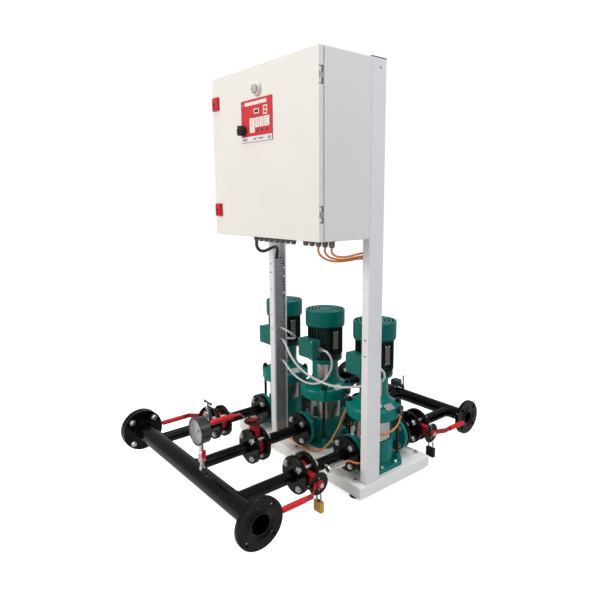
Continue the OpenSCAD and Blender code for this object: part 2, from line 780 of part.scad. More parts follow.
// Cranked lever with a sleeve grip and a nut on the stem
module valve_lever(i) {
    rise = valve_crank(i);
    color("firebrick") at_valve(i) mirror([0, valve_side(i) > 0 ? 1 : 0, 0]) {
        difference() {
            union() {
                translate([0, 0, hub_z]) cylinder(h = 12, r = 16);
                translate([-11, 0, 0]) rotate([90, 0, 90]) linear_extrude(22) polygon([
                    [8, hub_z], [8, hub_z + 5], [-26, hub_z + 5], [-70, hub_z + rise + 5],
                    [-lever_len + 4, hub_z + rise + 5], [-lever_len + 4, hub_z + rise],
                    [-68, hub_z + rise], [-24, hub_z]]);
                translate([0, grip_len - lever_len, hub_z + rise + 2.5]) rotate([90, 0, 0])
                    cylinder(h = grip_len, r = 11);
            }
            translate([0, 0, hub_z - 1]) cylinder(h = 20, r = stem_r);
        }
        translate([0, 0, hub_z + 12]) difference() {
            hexagon(17, 7);
            translate([0, 0, -1]) cylinder(h = 9, r = stem_r);
        }
    }
}

// Padlocks hang in the lower ears of the two notch plates on the +X side
module padlocks() {
    for (i = [2, 5]) translate([pump_x(2) + valve_neck + notch_t / 2, valve_y(i), axis_z - ear_at]) {
        color(i == 2 ? "goldenrod" : "#222222") translate([-21, -9, -76]) cube([42, 18, 44]);
        color("silver") {
            for (x = [-12, 12]) translate([x, 0, -34]) cylinder(h = 22, r = 3.4);
            translate([0, 0, -12]) rotate([90, 0, 0]) rotate_extrude(angle = 180)
                translate([12, 0]) circle(r = 3.4);
        }
    }
}

// Pumps

// Foot, bowl and ports in one casting, drilled for the foot bolts and the port bolts
module pump_casing() {
    half = pump_foot / 2;
    difference() {
        union() {
            translate([0, 0, base_top]) linear_extrude(foot_t) polygon([
                [half, half - foot_cut], [half - foot_cut, half], [foot_cut - half, half],
                [-half, half - foot_cut], [-half, foot_cut - half], [foot_cut - half, -half],
                [half - foot_cut, -half], [half, foot_cut - half]]);
            translate([0, 0, foot_top - 1]) cylinder(h = bowl_top - foot_top + 1, r = bowl_r);
            for (side = [-1, 1]) translate([0, 0, axis_z]) rotate([-90 * side, 0, 0]) {
                cylinder(h = port_face - 2, r = branch_r + 9);
                translate([0, 0, port_face]) mirror([0, 0, 1]) branch_flange();
            }
            for (x = [-tie_at, tie_at]) for (y = [-tie_at, tie_at])
                translate([x, y, foot_top - 1]) cylinder(h = 25, r = lug_r);
        }
        translate([0, 0, foot_top + 22]) cylinder(h = bowl_top, r = bowl_r - 16);
        translate([0, 0, foot_top + 14]) cylinder(h = bowl_top, r = pump_shaft_r + run);
        for (side = [-1, 1]) translate([0, 0, axis_z]) rotate([-90 * side, 0, 0])
            translate([0, 0, bowl_r - 30]) cylinder(h = port_face, r = branch_bore);
        for (x = [-1, 1]) for (y = [-1, 1])
            translate([x * (half - 13), y * 42, base_top - 1]) cylinder(h = foot_t + 2, r = 5.25);
        for (x = [-tie_at, tie_at]) for (y = [-tie_at, tie_at])
            translate([x, y, foot_top - 8]) cylinder(h = 40, r = tie_r);
    }
}
module pump_casings() {
    color("#00796b") for (k = pumps) translate([pump_x(k), 0, 0]) pump_casing();
}

// Stainless sleeve with the stage plates that stand inside it
stages = 3;
stage_gap = barrel_len / stages;
module pump_barrels() {
    color("silver") for (k = pumps) translate([pump_x(k), 0, bowl_top]) {
        tube(barrel_r, barrel_r - 3, barrel_len);
        for (i = [0 : stages - 1]) translate([0, 0, stage_gap * (i + 1) - 11])
            tube(barrel_r - 3, pump_shaft_r + 5, 8);
    }
}

// Head with the lantern that carries the motor
module pump_head() {
    deck = head_z + 72;
    seal = head_z + 40;
    difference() {
        union() {
            rotate_extrude() polygon([[0, head_z], [head_r - 6, head_z], [head_r, head_z + 6],
                [head_r, head_z + 42], [head_r - 5, head_z + 50], [lantern_r + 16, head_z + 70],
                [lantern_r + 5, lantern_z - 12], [lantern_r, lantern_z],
                [lantern_r, motor_z - 16], [motor_r + 3, motor_z - 10], [motor_r + 3, motor_z],
                [0, motor_z]]);
            for (x = [-tie_at, tie_at]) for (y = [-tie_at, tie_at])
                translate([x, y, head_z]) cylinder(h = lug_h, r = lug_r);
        }
        translate([0, 0, head_z - 1]) cylinder(h = seal - head_z + 1, r = barrel_r - 10);
        translate([0, 0, head_z]) cylinder(h = motor_z - head_z, r = pump_shaft_r + run);
        translate([0, 0, deck]) cylinder(h = motor_z - 14 - deck, r = lantern_r - 9);
        translate([0, 0, motor_z - 20]) cylinder(h = 30, r = 30);
        rotate([0, 0, -45]) translate([-lantern_r - 10, -27, lantern_z + 4])
            cube([2 * lantern_r + 20, 54, lantern_h - 34]);
        for (x = [-tie_at, tie_at]) for (y = [-tie_at, tie_at]) translate([x, y, head_z]) {
            translate([0, 0, -1]) cylinder(h = lug_h + 2, r = tie_r + 0.25);
            translate([0, 0, lug_h]) cylinder(h = 40, r = lug_r);
        }
    }
}
module pump_heads() {
    for (k = pumps) translate([pump_x(k), 0, 0]) {
        color("#00796b") pump_head();
        color("silver") intersection() {
            translate([0, 0, lantern_z + 1]) tube(lantern_r + 1.2, lantern_r, lantern_h - 24);
            rotate([0, 0, -45]) translate([-lantern_r - 10, -32, lantern_z])
                cube([2 * lantern_r + 20, 64, lantern_h]);
        }
    }
}

module tie_rods() {
    color("#2b2b2b") for (k = pumps) for (x = [-tie_at, tie_at]) for (y = [-tie_at, tie_at])
        translate([pump_x(k) + x, y, 0]) {
            translate([0, 0, foot_top - 8])
                cylinder(h = head_z + lug_h + 18 - foot_top + 8, r = tie_r);
            translate([0, 0, head_z + lug_h]) hexagon(22, 12);
        }
}

// Finned motor frame with its flange, rear shield and stator
core_r = 45;
module motor(k) {
    fins = 30;
    translate([pump_x(k), 0, 0]) {
        color("#00695c") difference() {
            union() {
                translate([0, 0, motor_z]) cylinder(h = shield_t, r = motor_r + 3);
                translate([0, 0, motor_z + 1]) cylinder(h = motor_len - 2, r = motor_r);
                translate([0, 0, cowl_z - 8])
                    cylinder(h = motor_z + motor_len - cowl_z + 8, r = cowl_r - 2);
                for (i = [0 : fins - 1]) rotate([0, 0, 360 / fins * (i + 0.5)])
                    translate([motor_r - 2, -1.5, motor_z + shield_t + 8])
                        cube([fin_h + 2, 3, cowl_z - motor_z - shield_t - 14]);
                block([-tbox_w / 2 + 4, tbox_y - 22, tbox_z + 4],
                    [tbox_w / 2 - 4, tbox_y, tbox_z + tbox_h - 4]);
            }
            translate([0, 0, motor_z + shield_t])
                cylinder(h = motor_len - 2 * shield_t, r = motor_r - 11);
            translate([0, 0, motor_z - 1]) cylinder(h = motor_len + 2, r = shaft_r + run);
        }
        color("gray") translate([0, 0, motor_z + 32])
            tube(motor_r - 11, core_r, motor_len - 64);
    }
}

module fan_cowls() {
    top = cowl_z + cowl_h;
    color("#00796b") for (k = pumps) translate([pump_x(k), 0, 0]) difference() {
        union() {
            translate([0, 0, cowl_z]) cylinder(h = cowl_h - 3, r = cowl_r);
            translate([0, 0, top - 3]) cylinder(h = 3, r1 = cowl_r, r2 = cowl_r - 2.5);
        }
        translate([0, 0, cowl_z - 1]) cylinder(h = cowl_h - 1.5, r = cowl_r - 2);
        for (r = [26, 42, 58, 74]) for (a = [0 : 90 : 270]) rotate([0, 0, a + 6])
            translate([0, 0, top - 6]) rotate_extrude(angle = 78) translate([r, 0])
                square([8, 12]);
    }
}

// Motor shaft, rotor core, fan, coupling and pump shaft with its impellers
module rotor(k) {
    impeller_r = 58;
    color("lightsteelblue") translate([pump_x(k), 0, 0]) {
        translate([0, 0, foot_top + 16]) cylinder(h = lantern_z + 20 - foot_top, r = pump_shaft_r);
        translate([0, 0, lantern_z + 14]) cylinder(h = lantern_h - 30, r = 22);
        translate([0, 0, motor_z - 20]) cylinder(h = motor_len + 58, r = shaft_r);
        translate([0, 0, motor_z + 30]) cylinder(h = motor_len - 60, r = core_r - 0.5);
        for (i = [0 : stages - 1]) translate([0, 0, bowl_top + stage_gap * i + 7])
            cylinder(h = 11, r = impeller_r);
        translate([0, 0, cowl_z + 12]) cylinder(h = 34, r = 18);
        for (a = [0 : 60 : 300]) rotate([0, 0, a]) translate([10, -1.5, cowl_z + 14])
            cube([60, 3, 30]);
    }
}

// Terminal boxes on the motors' front sides, with a cable gland each
module terminal_boxes() {
    half = tbox_w / 2;
    front = tbox_y - tbox_d;
    color("#00796b") for (k = pumps) translate([pump_x(k), 0, 0]) difference() {
        union() {
            block([-half, front, tbox_z], [half, tbox_y, tbox_z + tbox_h]);
            block([-half - 2, front, tbox_z - 2], [half + 2, front + 8, tbox_z + tbox_h + 2]);
            along_x([half - 1, tgland_y, tgland_z]) hexagon(24, 9);
            along_x([half - 1, tgland_y, tgland_z]) cylinder(h = 28, r = 9);
        }
        block([-half + 4, front + 4, tbox_z + 4], [half - 4, tbox_y + 1, tbox_z + tbox_h - 4]);
        translate([0, 0, tbox_z - 3]) cylinder(h = tbox_h + 6, r = motor_r + fin_h + seat);
        along_x([half - 6, tgland_y, tgland_z]) cylinder(h = 27, r = motor_d / 2);
    }
}

// Instruments

// Gauge case with its ring, dial and lens, and the connection below it
module pressure_gauge() {
    color("#1c1c1e") {
        difference() {
            union() {
                along_y([gauge_x, gauge_y - 20, gauge_z]) cylinder(h = 40, r = gauge_r);
                along_y([gauge_x, gauge_y - 24, gauge_z]) cylinder(h = 8, r = gauge_r + 5);
                translate([gauge_x, gauge_y, cock_z + 28])
                    cylinder(h = gauge_z - gauge_r - cock_z - 24, r = 8);
                translate([gauge_x, gauge_y, cock_z + 28]) hexagon(20, 12);
            }
            along_y([gauge_x, gauge_y - 25, gauge_z]) cylinder(h = 22, r = gauge_r - 3);
        }
    }
    color("white") along_y([gauge_x, gauge_y - 5, gauge_z]) tube(gauge_r - 3, 3, 2);
    color("lightcyan", 0.3) along_y([gauge_x, gauge_y - 22, gauge_z])
        cylinder(h = 3, r = gauge_r - 3);
}
needle_turn = 225;
module gauge_needle() {
    color("black") translate([gauge_x, gauge_y - 10, gauge_z]) rotate([90, needle_turn, 0]) {
        translate([0, 0, -6.5]) cylinder(h = 10.5, r = 2.9);
        translate([0, 0, 1]) linear_extrude(1.2)
            polygon([[-2.2, -14], [2.2, -14], [0.6, 38], [-0.6, 38]]);
    }
}

// Handles of the gauge cock and of the vent, each on its own small spindle
module gauge_cock() {
    color("firebrick") {
        along_x([gauge_x + 6, gauge_y, cock_z + 14]) cylinder(h = 20, r = 3);
        block([gauge_x + 19, gauge_y - 7, cock_z + 7], [gauge_x + 22, gauge_y + 7, cock_z + 52]);
    }
}
module vent_handle() {
    color("silver") translate([pump_x(0), vent_y, 0]) {
        translate([0, 0, vent_z + 40]) cylinder(h = 46, r = 4);
        translate([-30, -6, vent_z + 84]) cube([60, 12, 5]);
        for (x = [-28, 28]) translate([x, 0, vent_z + 81]) cylinder(h = 11, r = 6);
    }
}

// Small valves, sockets, pressure switches and the transmitter
module small_cock(x, y, z) {
    difference() {
        union() {
            translate([x, y, z - 36]) cylinder(h = 12, r = 12);
            translate([x, y, z - 26]) cylinder(h = 54, r = 8);
            translate([x, y, z]) hexagon(26, 26);
            along_x([x, y, z + 14]) cylinder(h = 17, r = 6);
        }
        along_x([x + 5, y, z + 14]) cylinder(h = 20, r = 3 + run);
    }
}
module head_switch(k) {
    translate([pump_x(k), 0, 0]) {
        difference() {
            along_x([head_r - 10, 30, head_z + 27]) cylinder(h = 13, r = 7);
            translate([0, 0, head_z]) cylinder(h = head_h, r = head_r);
        }
        translate([head_r + 2, 19, head_z + 31]) cube([18, 22, 34]);
    }
}
module instruments() {
    color("silver") difference() {
        small_cock(gauge_x, gauge_y, cock_z);
        along_x([-front_half, gauge_y, axis_z]) cylinder(h = 2 * front_half, r = front_pipe_r);
    }
    color("silver") difference() {
        translate([pump_x(0), vent_y, 0]) union() {
            translate([0, 0, vent_z - 8]) cylinder(h = 24, r = 10);
            translate([0, 0, vent_z + 14]) hexagon(24, 24);
            translate([0, 0, vent_z + 36]) cylinder(h = 18, r = 8);
        }
        along_y([pump_x(0), vent_y - 30, axis_z]) cylinder(h = 60, r = branch_r);
        translate([pump_x(0), vent_y, vent_z + 39]) cylinder(h = 40, r = 4 + run);
    }
    color("silver") difference() {
        union() {
            along_x([pump_x(2) + 8, sensor_y, axis_z]) cylinder(h = sensor_x - pump_x(2) + 4, r = 11);
            along_y([sensor_x, sensor_y - 13, axis_z]) hexagon(27, 30);
            along_y([sensor_x, sensor_y + 10, axis_z]) cylinder(h = 62, r = 15);
            along_y([sensor_x, sensor_y + 70, axis_z]) cylinder(h = 8.5, r = 9);
        }
        along_y([pump_x(2), sensor_y - 30, axis_z]) cylinder(h = 60, r = branch_r);
    }
    color("darkslateblue") for (k = [1, 2]) head_switch(k);
    color("#1c2430") difference() {
        translate([switch_at.x, switch_at.y, axis_z]) union() {
            cylinder(h = rear_pipe_r + 12, r = 10);
            translate([-24, -20, rear_pipe_r + 10]) cube([48, 40, 34]);
            translate([22, -13, rear_pipe_r + 10]) cube([26, 26, 12]);
            translate([50, 0, 0]) cylinder(h = rear_pipe_r + 78, r = 4);
            translate([50, 0, rear_pipe_r - 6]) cylinder(h = 20, r = 8);
        }
        along_x([-rear_half, rear_reach, axis_z]) cylinder(h = 2 * rear_half, r = rear_pipe_r);
    }
}

// Cables: one closed tube swept along its route, with its rings square to the way it runs

sides = 8;
function unit(v) = v / norm(v);
function heading(path, i) = unit(
    (i < len(path) - 1 ? unit(path[i + 1] - path[i]) : [0, 0, 0])
    + (i > 0 ? unit(path[i] - path[i - 1]) : [0, 0, 0]));
function carried(path, i) = let (t = heading(path, i),
    before = i == 0 ? (abs(t.x) > 0.8 ? [0, 1, 0] : [1, 0, 0]) : carried(path, i - 1))
    unit(before - (before * t) * t);
module cable(path, d) {
    last = len(path) - 1;
    rings = [for (i = [0 : last]) let (t = heading(path, i), u = carried(path, i),
        v = cross(t, u)) for (s = [0 : sides - 1])
        path[i] + (d / 2) * (cos(360 * s / sides) * u + sin(360 * s / sides) * v)];
    walls = [for (i = [0 : last - 1]) for (s = [0 : sides - 1]) let (n = (s + 1) % sides)
        [i * sides + s, (i + 1) * sides + s, (i + 1) * sides + n, i * sides + n]];
    ends = [[for (s = [0 : sides - 1]) s], [for (s = [sides - 1 : -1 : 0]) last * sides + s]];
    polyhedron(points = rings, faces = concat(walls, ends), convexity = 8);
}
module power_cables() {
    color("#222222") cable(supply_route, lead_d);
    color("lightgray") for (route = motor_routes) cable(route, motor_d);
}
module sensor_cables() {
    color("darkorange") for (route = concat(tail_routes, sense_routes)) cable(route, sense_d);
}

placed() {
    base_frame();
    base_feet();
    column_left();
    column_right();
    cable_ducts();
    frame_fixings();
    cabinet_body();
    mounting_plate();
    cabinet_devices();
    door_gasket();
    cabinet_door();
    door_hinges();
    lock_cases();
    door_lock_upper();
    door_lock_lower();
    control_panel();
    main_switch();
    signal_lamp();
    cable_glands();
    for (i = [1 : 3]) panel_button(button_x[i - 1]);
    front_header();
    rear_header();
    blind_flanges();
    flange_bolts();
    port_spools();
    valve_bodies();
    for (i = [1 : 6]) valve_disc(i - 1);
    for (i = [1 : 6]) valve_lever(i - 1);
    pump_casings();
    pump_barrels();
    pump_heads();
    tie_rods();
    for (k = [1 : 3]) motor(k - 1);
    fan_cowls();
    for (k = [1 : 3]) rotor(k - 1);
    terminal_boxes();
    pressure_gauge();
    gauge_needle();
    gauge_cock();
    vent_handle();
    instruments();
    padlocks();
    power_cables();
    sensor_cables();
}
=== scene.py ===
from math import atan2, cos, degrees, pi, radians, sin, sqrt

import bmesh
import bpy
from mathutils import Matrix, Vector


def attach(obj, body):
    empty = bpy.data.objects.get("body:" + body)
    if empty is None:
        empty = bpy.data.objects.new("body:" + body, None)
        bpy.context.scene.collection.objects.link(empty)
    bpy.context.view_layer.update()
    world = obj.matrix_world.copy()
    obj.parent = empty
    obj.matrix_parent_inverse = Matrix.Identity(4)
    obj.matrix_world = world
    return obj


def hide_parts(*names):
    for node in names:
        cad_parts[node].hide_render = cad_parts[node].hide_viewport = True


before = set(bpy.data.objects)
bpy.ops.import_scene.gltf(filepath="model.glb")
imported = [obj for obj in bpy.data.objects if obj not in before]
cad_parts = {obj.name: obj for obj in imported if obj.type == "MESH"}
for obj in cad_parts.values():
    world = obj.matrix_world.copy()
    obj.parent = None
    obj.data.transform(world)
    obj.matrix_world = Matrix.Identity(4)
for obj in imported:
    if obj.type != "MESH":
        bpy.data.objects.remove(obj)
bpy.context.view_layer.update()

# The camera stands off the front right corner, where the photograph was taken. Its lens
# and shift were fitted to the set.
bpy.ops.object.select_all(action="DESELECT")
bpy.ops.object.camera_add(location=(1.8463, -1.5298, 1.2123),
                          rotation=(radians(80.563), radians(0.209), radians(49.862)))
camera = bpy.context.object
camera.data.lens = 31.853
camera.data.sensor_width = 36
camera.data.shift_x = -0.02273
camera.data.shift_y = -0.0200
bpy.context.scene.camera = camera

# The studio: a white room, a wide soft light overhead, a warm one at the front left, a
# cool one high on the right, and a plain pale floor.
room = bpy.data.worlds.new("white_room")
room.use_nodes = True
nodes, links = room.node_tree.nodes, room.node_tree.links
nodes["Background"].inputs["Color"].default_value = (0.955, 0.97, 1.0, 1)
seen = nodes.new("ShaderNodeLightPath")
level = nodes.new("ShaderNodeMapRange")
level.inputs["To Min"].default_value = 0.42
level.inputs["To Max"].default_value = 1.05
links.new(seen.outputs["Is Camera Ray"], level.inputs["Value"])
links.new(level.outputs["Result"], nodes["Background"].inputs["Strength"])
bpy.context.scene.world = room
bpy.context.scene.view_settings.view_transform = "Standard"
LIT_POINT = Vector((0, 0, 0.8))


def softbox(place, size, watts, tint=(1, 1, 1)):
    """A rectangular light that is turned to the middle of the set."""
    bpy.ops.object.light_add(type="AREA", location=place)
    lamp = bpy.context.object
    lamp.rotation_euler = (LIT_POINT - Vector(place)).to_track_quat("-Z", "Y").to_euler()
    lamp.data.shape = "RECTANGLE"
    lamp.data.size, lamp.data.size_y = size
    lamp.data.energy = watts
    lamp.data.color = tint


softbox((-1.4, -4.4, 2.6), (3.0, 2.4), 144, (1, 0.945, 0.86))
softbox((3.4, 0.6, 3.6), (1.6, 1.6), 54, (0.90, 0.93, 1))
softbox((0.2, 0.0, 4.6), (3.0, 3.0), 120)

bpy.ops.mesh.primitive_plane_add(size=24, location=(0, 0, 0))
floor = bpy.context.object
floor.name = "floor"
floor_paint = bpy.data.materials.new("floor_paint")
floor_paint.use_nodes = True
nodes, links = floor_paint.node_tree.nodes, floor_paint.node_tree.links
floor_shader = nodes["Principled BSDF"]
floor_shader.inputs["Base Color"].default_value = (0.62, 0.62, 0.62, 1)
floor_shader.inputs["Roughness"].default_value = 0.75
floor_shader.inputs["Emission Color"].default_value = (1, 1, 1, 1)
glow = nodes.new("ShaderNodeMath")
glow.operation = "MULTIPLY"
glow.inputs[1].default_value = 0.75
on_floor = nodes.new("ShaderNodeLightPath")
links.new(on_floor.outputs["Is Camera Ray"], glow.inputs[0])
links.new(glow.outputs["Value"], floor_shader.inputs["Emission Strength"])
floor.data.materials.append(floor_paint)

# The free cables: round plastic sheaths, grey to the motors, black to the supply and
# orange to the sensors. Each goes from a gland or a fitting into a column's trunking.
MM = 0.001
SHIFT = Vector((5, 91.5, 0))


def at(x, y, z):
    """A point measured from the pump row in millimetres, in metres in the part's frame."""
    return (Vector((x, y, z)) + SHIFT) * MM


def finish(name, colour, rough, metal=0.0, coat=0.0, cloud=(6, 0.06), grain=(900, 0.15, 0.0002),
           stretch=(1, 1, 1), patch=(30, 0.08), edge=0.0, spec=0.5, fleck=None):
    """A painted, moulded or bare finish: clouded colour, patchy gloss and a fine grain. With edge set, convex
    edges get a lighter colour as a painted highlight.
    """
    made = bpy.data.materials.new(name)
    made.use_nodes = True
    nodes, links = made.node_tree.nodes, made.node_tree.links
    shader = nodes["Principled BSDF"]
    shader.inputs["Metallic"].default_value = metal
    shader.inputs["Coat Weight"].default_value = coat
    shader.inputs["Coat Roughness"].default_value = 0.12
    shader.inputs["Specular IOR Level"].default_value = spec
    place = nodes.new("ShaderNodeTexCoord")

    def noise(scale, detail=3, source=None):
        made_noise = nodes.new("ShaderNodeTexNoise")
        made_noise.inputs["Scale"].default_value = scale
        made_noise.inputs["Detail"].default_value = detail
        links.new(source or place.outputs["Object"], made_noise.inputs["Vector"])
        return made_noise.outputs["Fac"]

    def spread(value, low, high, start=0.3, end=0.7):
        made_range = nodes.new("ShaderNodeMapRange")
        for socket, number in zip(("From Min", "From Max", "To Min", "To Max"), (start, end, low, high)):
            made_range.inputs[socket].default_value = number
        links.new(value, made_range.inputs["Value"])
        return made_range.outputs["Result"]

    def mixed(share, one, other):
        made_mix = nodes.new("ShaderNodeMix")
        made_mix.data_type = "RGBA"
        for socket, value in ((0, share), (6, one), (7, other)):
            if hasattr(value, "is_linked"):
                links.new(value, made_mix.inputs[socket])
            else:
                made_mix.inputs[socket].default_value = value
        return made_mix.outputs[2]

    dark = [c * (1 - cloud[1]) for c in colour] + [1]
    light = [min(1, c * (1 + cloud[1])) for c in colour] + [1]
    tone = mixed(spread(noise(cloud[0]), 0, 1), dark, light)
    if fleck:
        size, strength, tint = fleck
        cells = nodes.new("ShaderNodeTexVoronoi")
        cells.inputs["Scale"].default_value = size
        links.new(place.outputs["Object"], cells.inputs["Vector"])
        shade = nodes.new("ShaderNodeSeparateColor")
        links.new(cells.outputs["Color"], shade.inputs["Color"])
        tone = mixed(spread(shade.outputs[0], 0, strength, 0, 1), tone, list(tint) + [1])
    # With edge set, the colour turns lighter on convex edges by pointiness: a painted highlight along the
    # edges, not wear.
    if edge:
        geometry = nodes.new("ShaderNodeNewGeometry")
        tone = mixed(spread(geometry.outputs["Pointiness"], 0, edge, 0.51, 0.60), tone,
                     [min(1, c * 1.8 + 0.05) for c in colour] + [1])
    links.new(tone, shader.inputs["Base Color"])
    links.new(spread(noise(patch[0], 5), max(0.02, rough - patch[1]), min(1, rough + patch[1])),
              shader.inputs["Roughness"])
    stretched = nodes.new("ShaderNodeMapping")
    stretched.inputs["Scale"].default_value = stretch
    links.new(place.outputs["Object"], stretched.inputs["Vector"])
    relief = nodes.new("ShaderNodeBump")
    relief.inputs["Strength"].default_value = grain[1]
    relief.inputs["Distance"].default_value = grain[2]
    links.new(noise(grain[0], 2, stretched.outputs["Vector"]), relief.inputs["Height"])
    links.new(relief.outputs["Normal"], shader.inputs["Normal"])
    return made


black_sheath = finish("black_sheath", (0.03, 0.032, 0.035), 0.42, cloud=(25, 0.25), grain=(1400, 0.2, 0.0002))
grey_sheath = finish("grey_sheath", (0.58, 0.58, 0.57), 0.42, cloud=(25, 0.07), grain=(1400, 0.2, 0.0002))
orange_sheath = finish("orange_sheath", (0.70, 0.21, 0.03), 0.45, cloud=(25, 0.12), grain=(1400, 0.2, 0.0002))
SUPPLY_WIDTH, MOTOR_WIDTH, SENSOR_WIDTH = 14, 10, 8
SUPPLY = [(-129, -292, 1034), (-129, -292, 1012), (-134, -276, 992), (-142, -248, 984),
          (-150, -216, 988), (-158, -184, 996), (-170, -153, 994), (-184, -138, 980),
          (-193, -133, 958), (-196, -133, 936), (-196, -133, 925)]
MOTOR_LEADS = [
    [(-184, -128, 600), (-168, -128, 600), (-148, -122, 594), (-134, -104, 580),
     (-134, -82, 563), (-148, -66, 548), (-174, -62, 538), (-202, -68, 534),
     (-226, -80, 533), (-243, -80, 533)],
    [(-184, -128, 440), (-168, -128, 440), (-140, -130, 428), (-104, -130, 404),
     (-64, -126, 384), (-22, -120, 372), (22, -114, 370), (62, -106, 378),
     (96, -94, 398), (116, -80, 430), (124, -70, 466), (122, -70, 500),
     (112, -78, 524), (96, -80, 533), (77, -80, 533)],
    [(-184, -128, 545), (-168, -128, 545), (-146, -132, 536), (-116, -138, 512),
     (-84, -142, 484), (-44, -145, 458), (4, -147, 438), (60, -147, 424),
     (120, -145, 416), (180, -142, 414), (236, -138, 418), (288, -130, 428),
     (334, -116, 440), (372, -100, 452), (406, -80, 464), (432, -68, 482),
     (440, -66, 508), (430, -73, 528), (414, -80, 533), (397, -80, 533)]]
SENSOR_TAILS = [
    [(293, -292, 1034), (293, -292, 1014), (298, -278, 994), (314, -256, 980),
     (338, -228, 976), (364, -200, 980), (388, -174, 986), (406, -156, 986),
     (420, -149, 975), (430, -148, 956), (434, -148, 936), (434, -148, 926)],
    [(331, -292, 1034), (331, -292, 1016), (336, -278, 998), (350, -254, 988),
     (370, -224, 986), (388, -192, 992), (402, -162, 996), (412, -145, 990),
     (422, -138, 974), (430, -136, 954), (434, -136, 934), (434, -136, 926)],
    [(369, -292, 1034), (369, -292, 1018), (373, -278, 1004), (382, -252, 998),
     (392, -220, 1000), (400, -186, 1006), (404, -158, 1008), (409, -138, 1000),
     (418, -127, 982), (428, -124, 960), (433, -124, 940), (434, -124, 926)]]
SENSOR_LEADS = [
    [(127, 30, 318), (127, 30, 300), (136, 18, 272), (144, -6, 236), (148, -36, 196),
     (148, -66, 156), (142, -94, 120), (128, -118, 92), (104, -136, 74), (72, -146, 69),
     (32, -151, 68), (-12, -153, 68), (-56, -151, 68), (-98, -145, 69), (-134, -138, 74),
     (-164, -134, 84), (-184, -133, 102), (-194, -133, 122), (-196, -133, 140)],
    [(447, 30, 318), (447, 30, 302), (452, 14, 282), (455, -8, 268), (452, -34, 258),
     (442, -58, 250), (424, -76, 246), (408, -88, 243), (392, -98, 241), (378, -110, 240),
     (373, -124, 240), (379, -136, 240), (394, -142, 240), (408, -142, 240),
     (422, -142, 240)],
    [(372, -224, 153), (372, -208, 153), (377, -195, 150), (389, -184, 145),
     (400, -173, 143), (403, -160, 141), (410, -148, 140), (422, -148, 140)]]


def cable(name, route, width, length, sheath, node):
    """One cable on a smooth line through its route, in millimetres from the pump row."""
    line = bpy.data.curves.new(name, "CURVE")
    line.dimensions = "3D"
    line.resolution_u = 6
    line.bevel_depth = width / 2 * MM
    line.bevel_resolution = 5
    line.use_fill_caps = True
    spline = line.splines.new("BEZIER")
    spline.bezier_points.add(len(route) - 1)
    for knot, point in zip(spline.bezier_points, route):
        knot.co = at(*point)
        knot.handle_left_type = knot.handle_right_type = "AUTO"
    piece = bpy.data.objects.new(name, line)
    bpy.context.collection.objects.link(piece)
    line.materials.append(sheath)
    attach(piece, "frame")
    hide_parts(node)
    at(*route[0])


cable("supply_cable", SUPPLY, SUPPLY_WIDTH, 264, black_sheath, "power_cables")
for i, (route, length) in enumerate(zip(MOTOR_LEADS, (222, 486, 766))):
    cable(f"motor_cable_{i + 1}", route, MOTOR_WIDTH, length, grey_sheath, "power_cables")
for name, routes, lengths in (("sensor_tail", SENSOR_TAILS, (285, 270, 268)),
                              ("sensor_cable", SENSOR_LEADS, (657, 282, 104))):
    for i, (route, length) in enumerate(zip(routes, lengths)):
        cable(f"{name}_{i + 1}", route, SENSOR_WIDTH, length, orange_sheath, "sensor_cables")

# The base is one folded steel sheet with two cross walls under it, powder coated nearly
# white. Pumps and columns are bolted through its top.
BASE_X, BASE_Y, BASE_Z = (-450, 450), (-208, 232), (13, 63)


def alone(piece):
    """Leaves one piece selected and active."""
    bpy.ops.object.select_all(action="DESELECT")
    piece.select_set(True)
    bpy.context.view_layer.objects.active = piece


def pick(piece, kind, test):
    """Opens a piece for editing, with the faces or edges that pass the test selected."""
    alone(piece)
    bpy.ops.object.mode_set(mode="EDIT")
    bpy.ops.mesh.select_mode(type=kind)
    bpy.ops.mesh.select_all(action="DESELECT")
    shape = bmesh.from_edit_mesh(piece.data)
    for part in (shape.faces if kind == "FACE" else shape.edges):
        if test(part):
            part.select_set(True)
    bmesh.update_edit_mesh(piece.data)


def close():
    bpy.ops.object.mode_set(mode="OBJECT")


def near(value, *marks):
    """Whether a coordinate in metres lies on one of the marks in millimetres."""
    return any(abs(value - mark * MM) < 1e-5 for mark in marks)


def drawn(x, y, z):
    """Extrudes what is selected by a step in millimetres."""
    bpy.ops.mesh.extrude_region_move(TRANSFORM_OT_translate={"value": Vector((x, y, z)) * MM})


def without(piece, test):
    """Takes away the faces that pass the test."""
    pick(piece, "FACE", test)
    bpy.ops.mesh.delete(type="FACE")
    close()


def settle(piece):
    """Puts a piece's place and turn into its mesh."""
    alone(piece)
    bpy.ops.object.transform_apply(location=True, rotation=True, scale=True)
    return piece


def applied(piece, kind, **settings):
    """Adds a modifier to a piece and applies it."""
    alone(piece)
    modifier = piece.modifiers.new(kind, kind)
    for name, value in settings.items():
        setattr(modifier, name, value)
    bpy.ops.object.modifier_apply(modifier=modifier.name)
    return piece


def eased(piece, width, steps=2, angle=35):
    """Rounds every edge that is sharper than the angle, by a width in millimetres."""
    return applied(piece, "BEVEL", width=width * MM, segments=steps, limit_method="ANGLE",
                   angle_limit=radians(angle), use_clamp_overlap=True)


def block(low, high, ease=0.0, steps=2):
    """A solid between two corners, in millimetres from the pump row."""
    bpy.ops.object.select_all(action="DESELECT")
    low, high = Vector(low) * MM, Vector(high) * MM
    bpy.ops.mesh.primitive_cube_add(size=1, location=(low + high) / 2)
    piece = bpy.context.object
    piece.scale = high - low
    settle(piece)
    return eased(piece, ease, steps) if ease else piece


def painted(piece, paint):
    piece.data.materials.clear()
    piece.data.materials.append(paint)
    return piece


def slab(paint, low, high, ease=0.0, steps=2):
    """A painted block."""
    return painted(block(low, high, ease, steps), paint)


def joined(*parts):
    """Makes several parts one piece; each keeps its own paint."""
    alone(parts[0])
    for part in parts:
        part.select_set(True)
    bpy.ops.object.join()
    return bpy.context.object


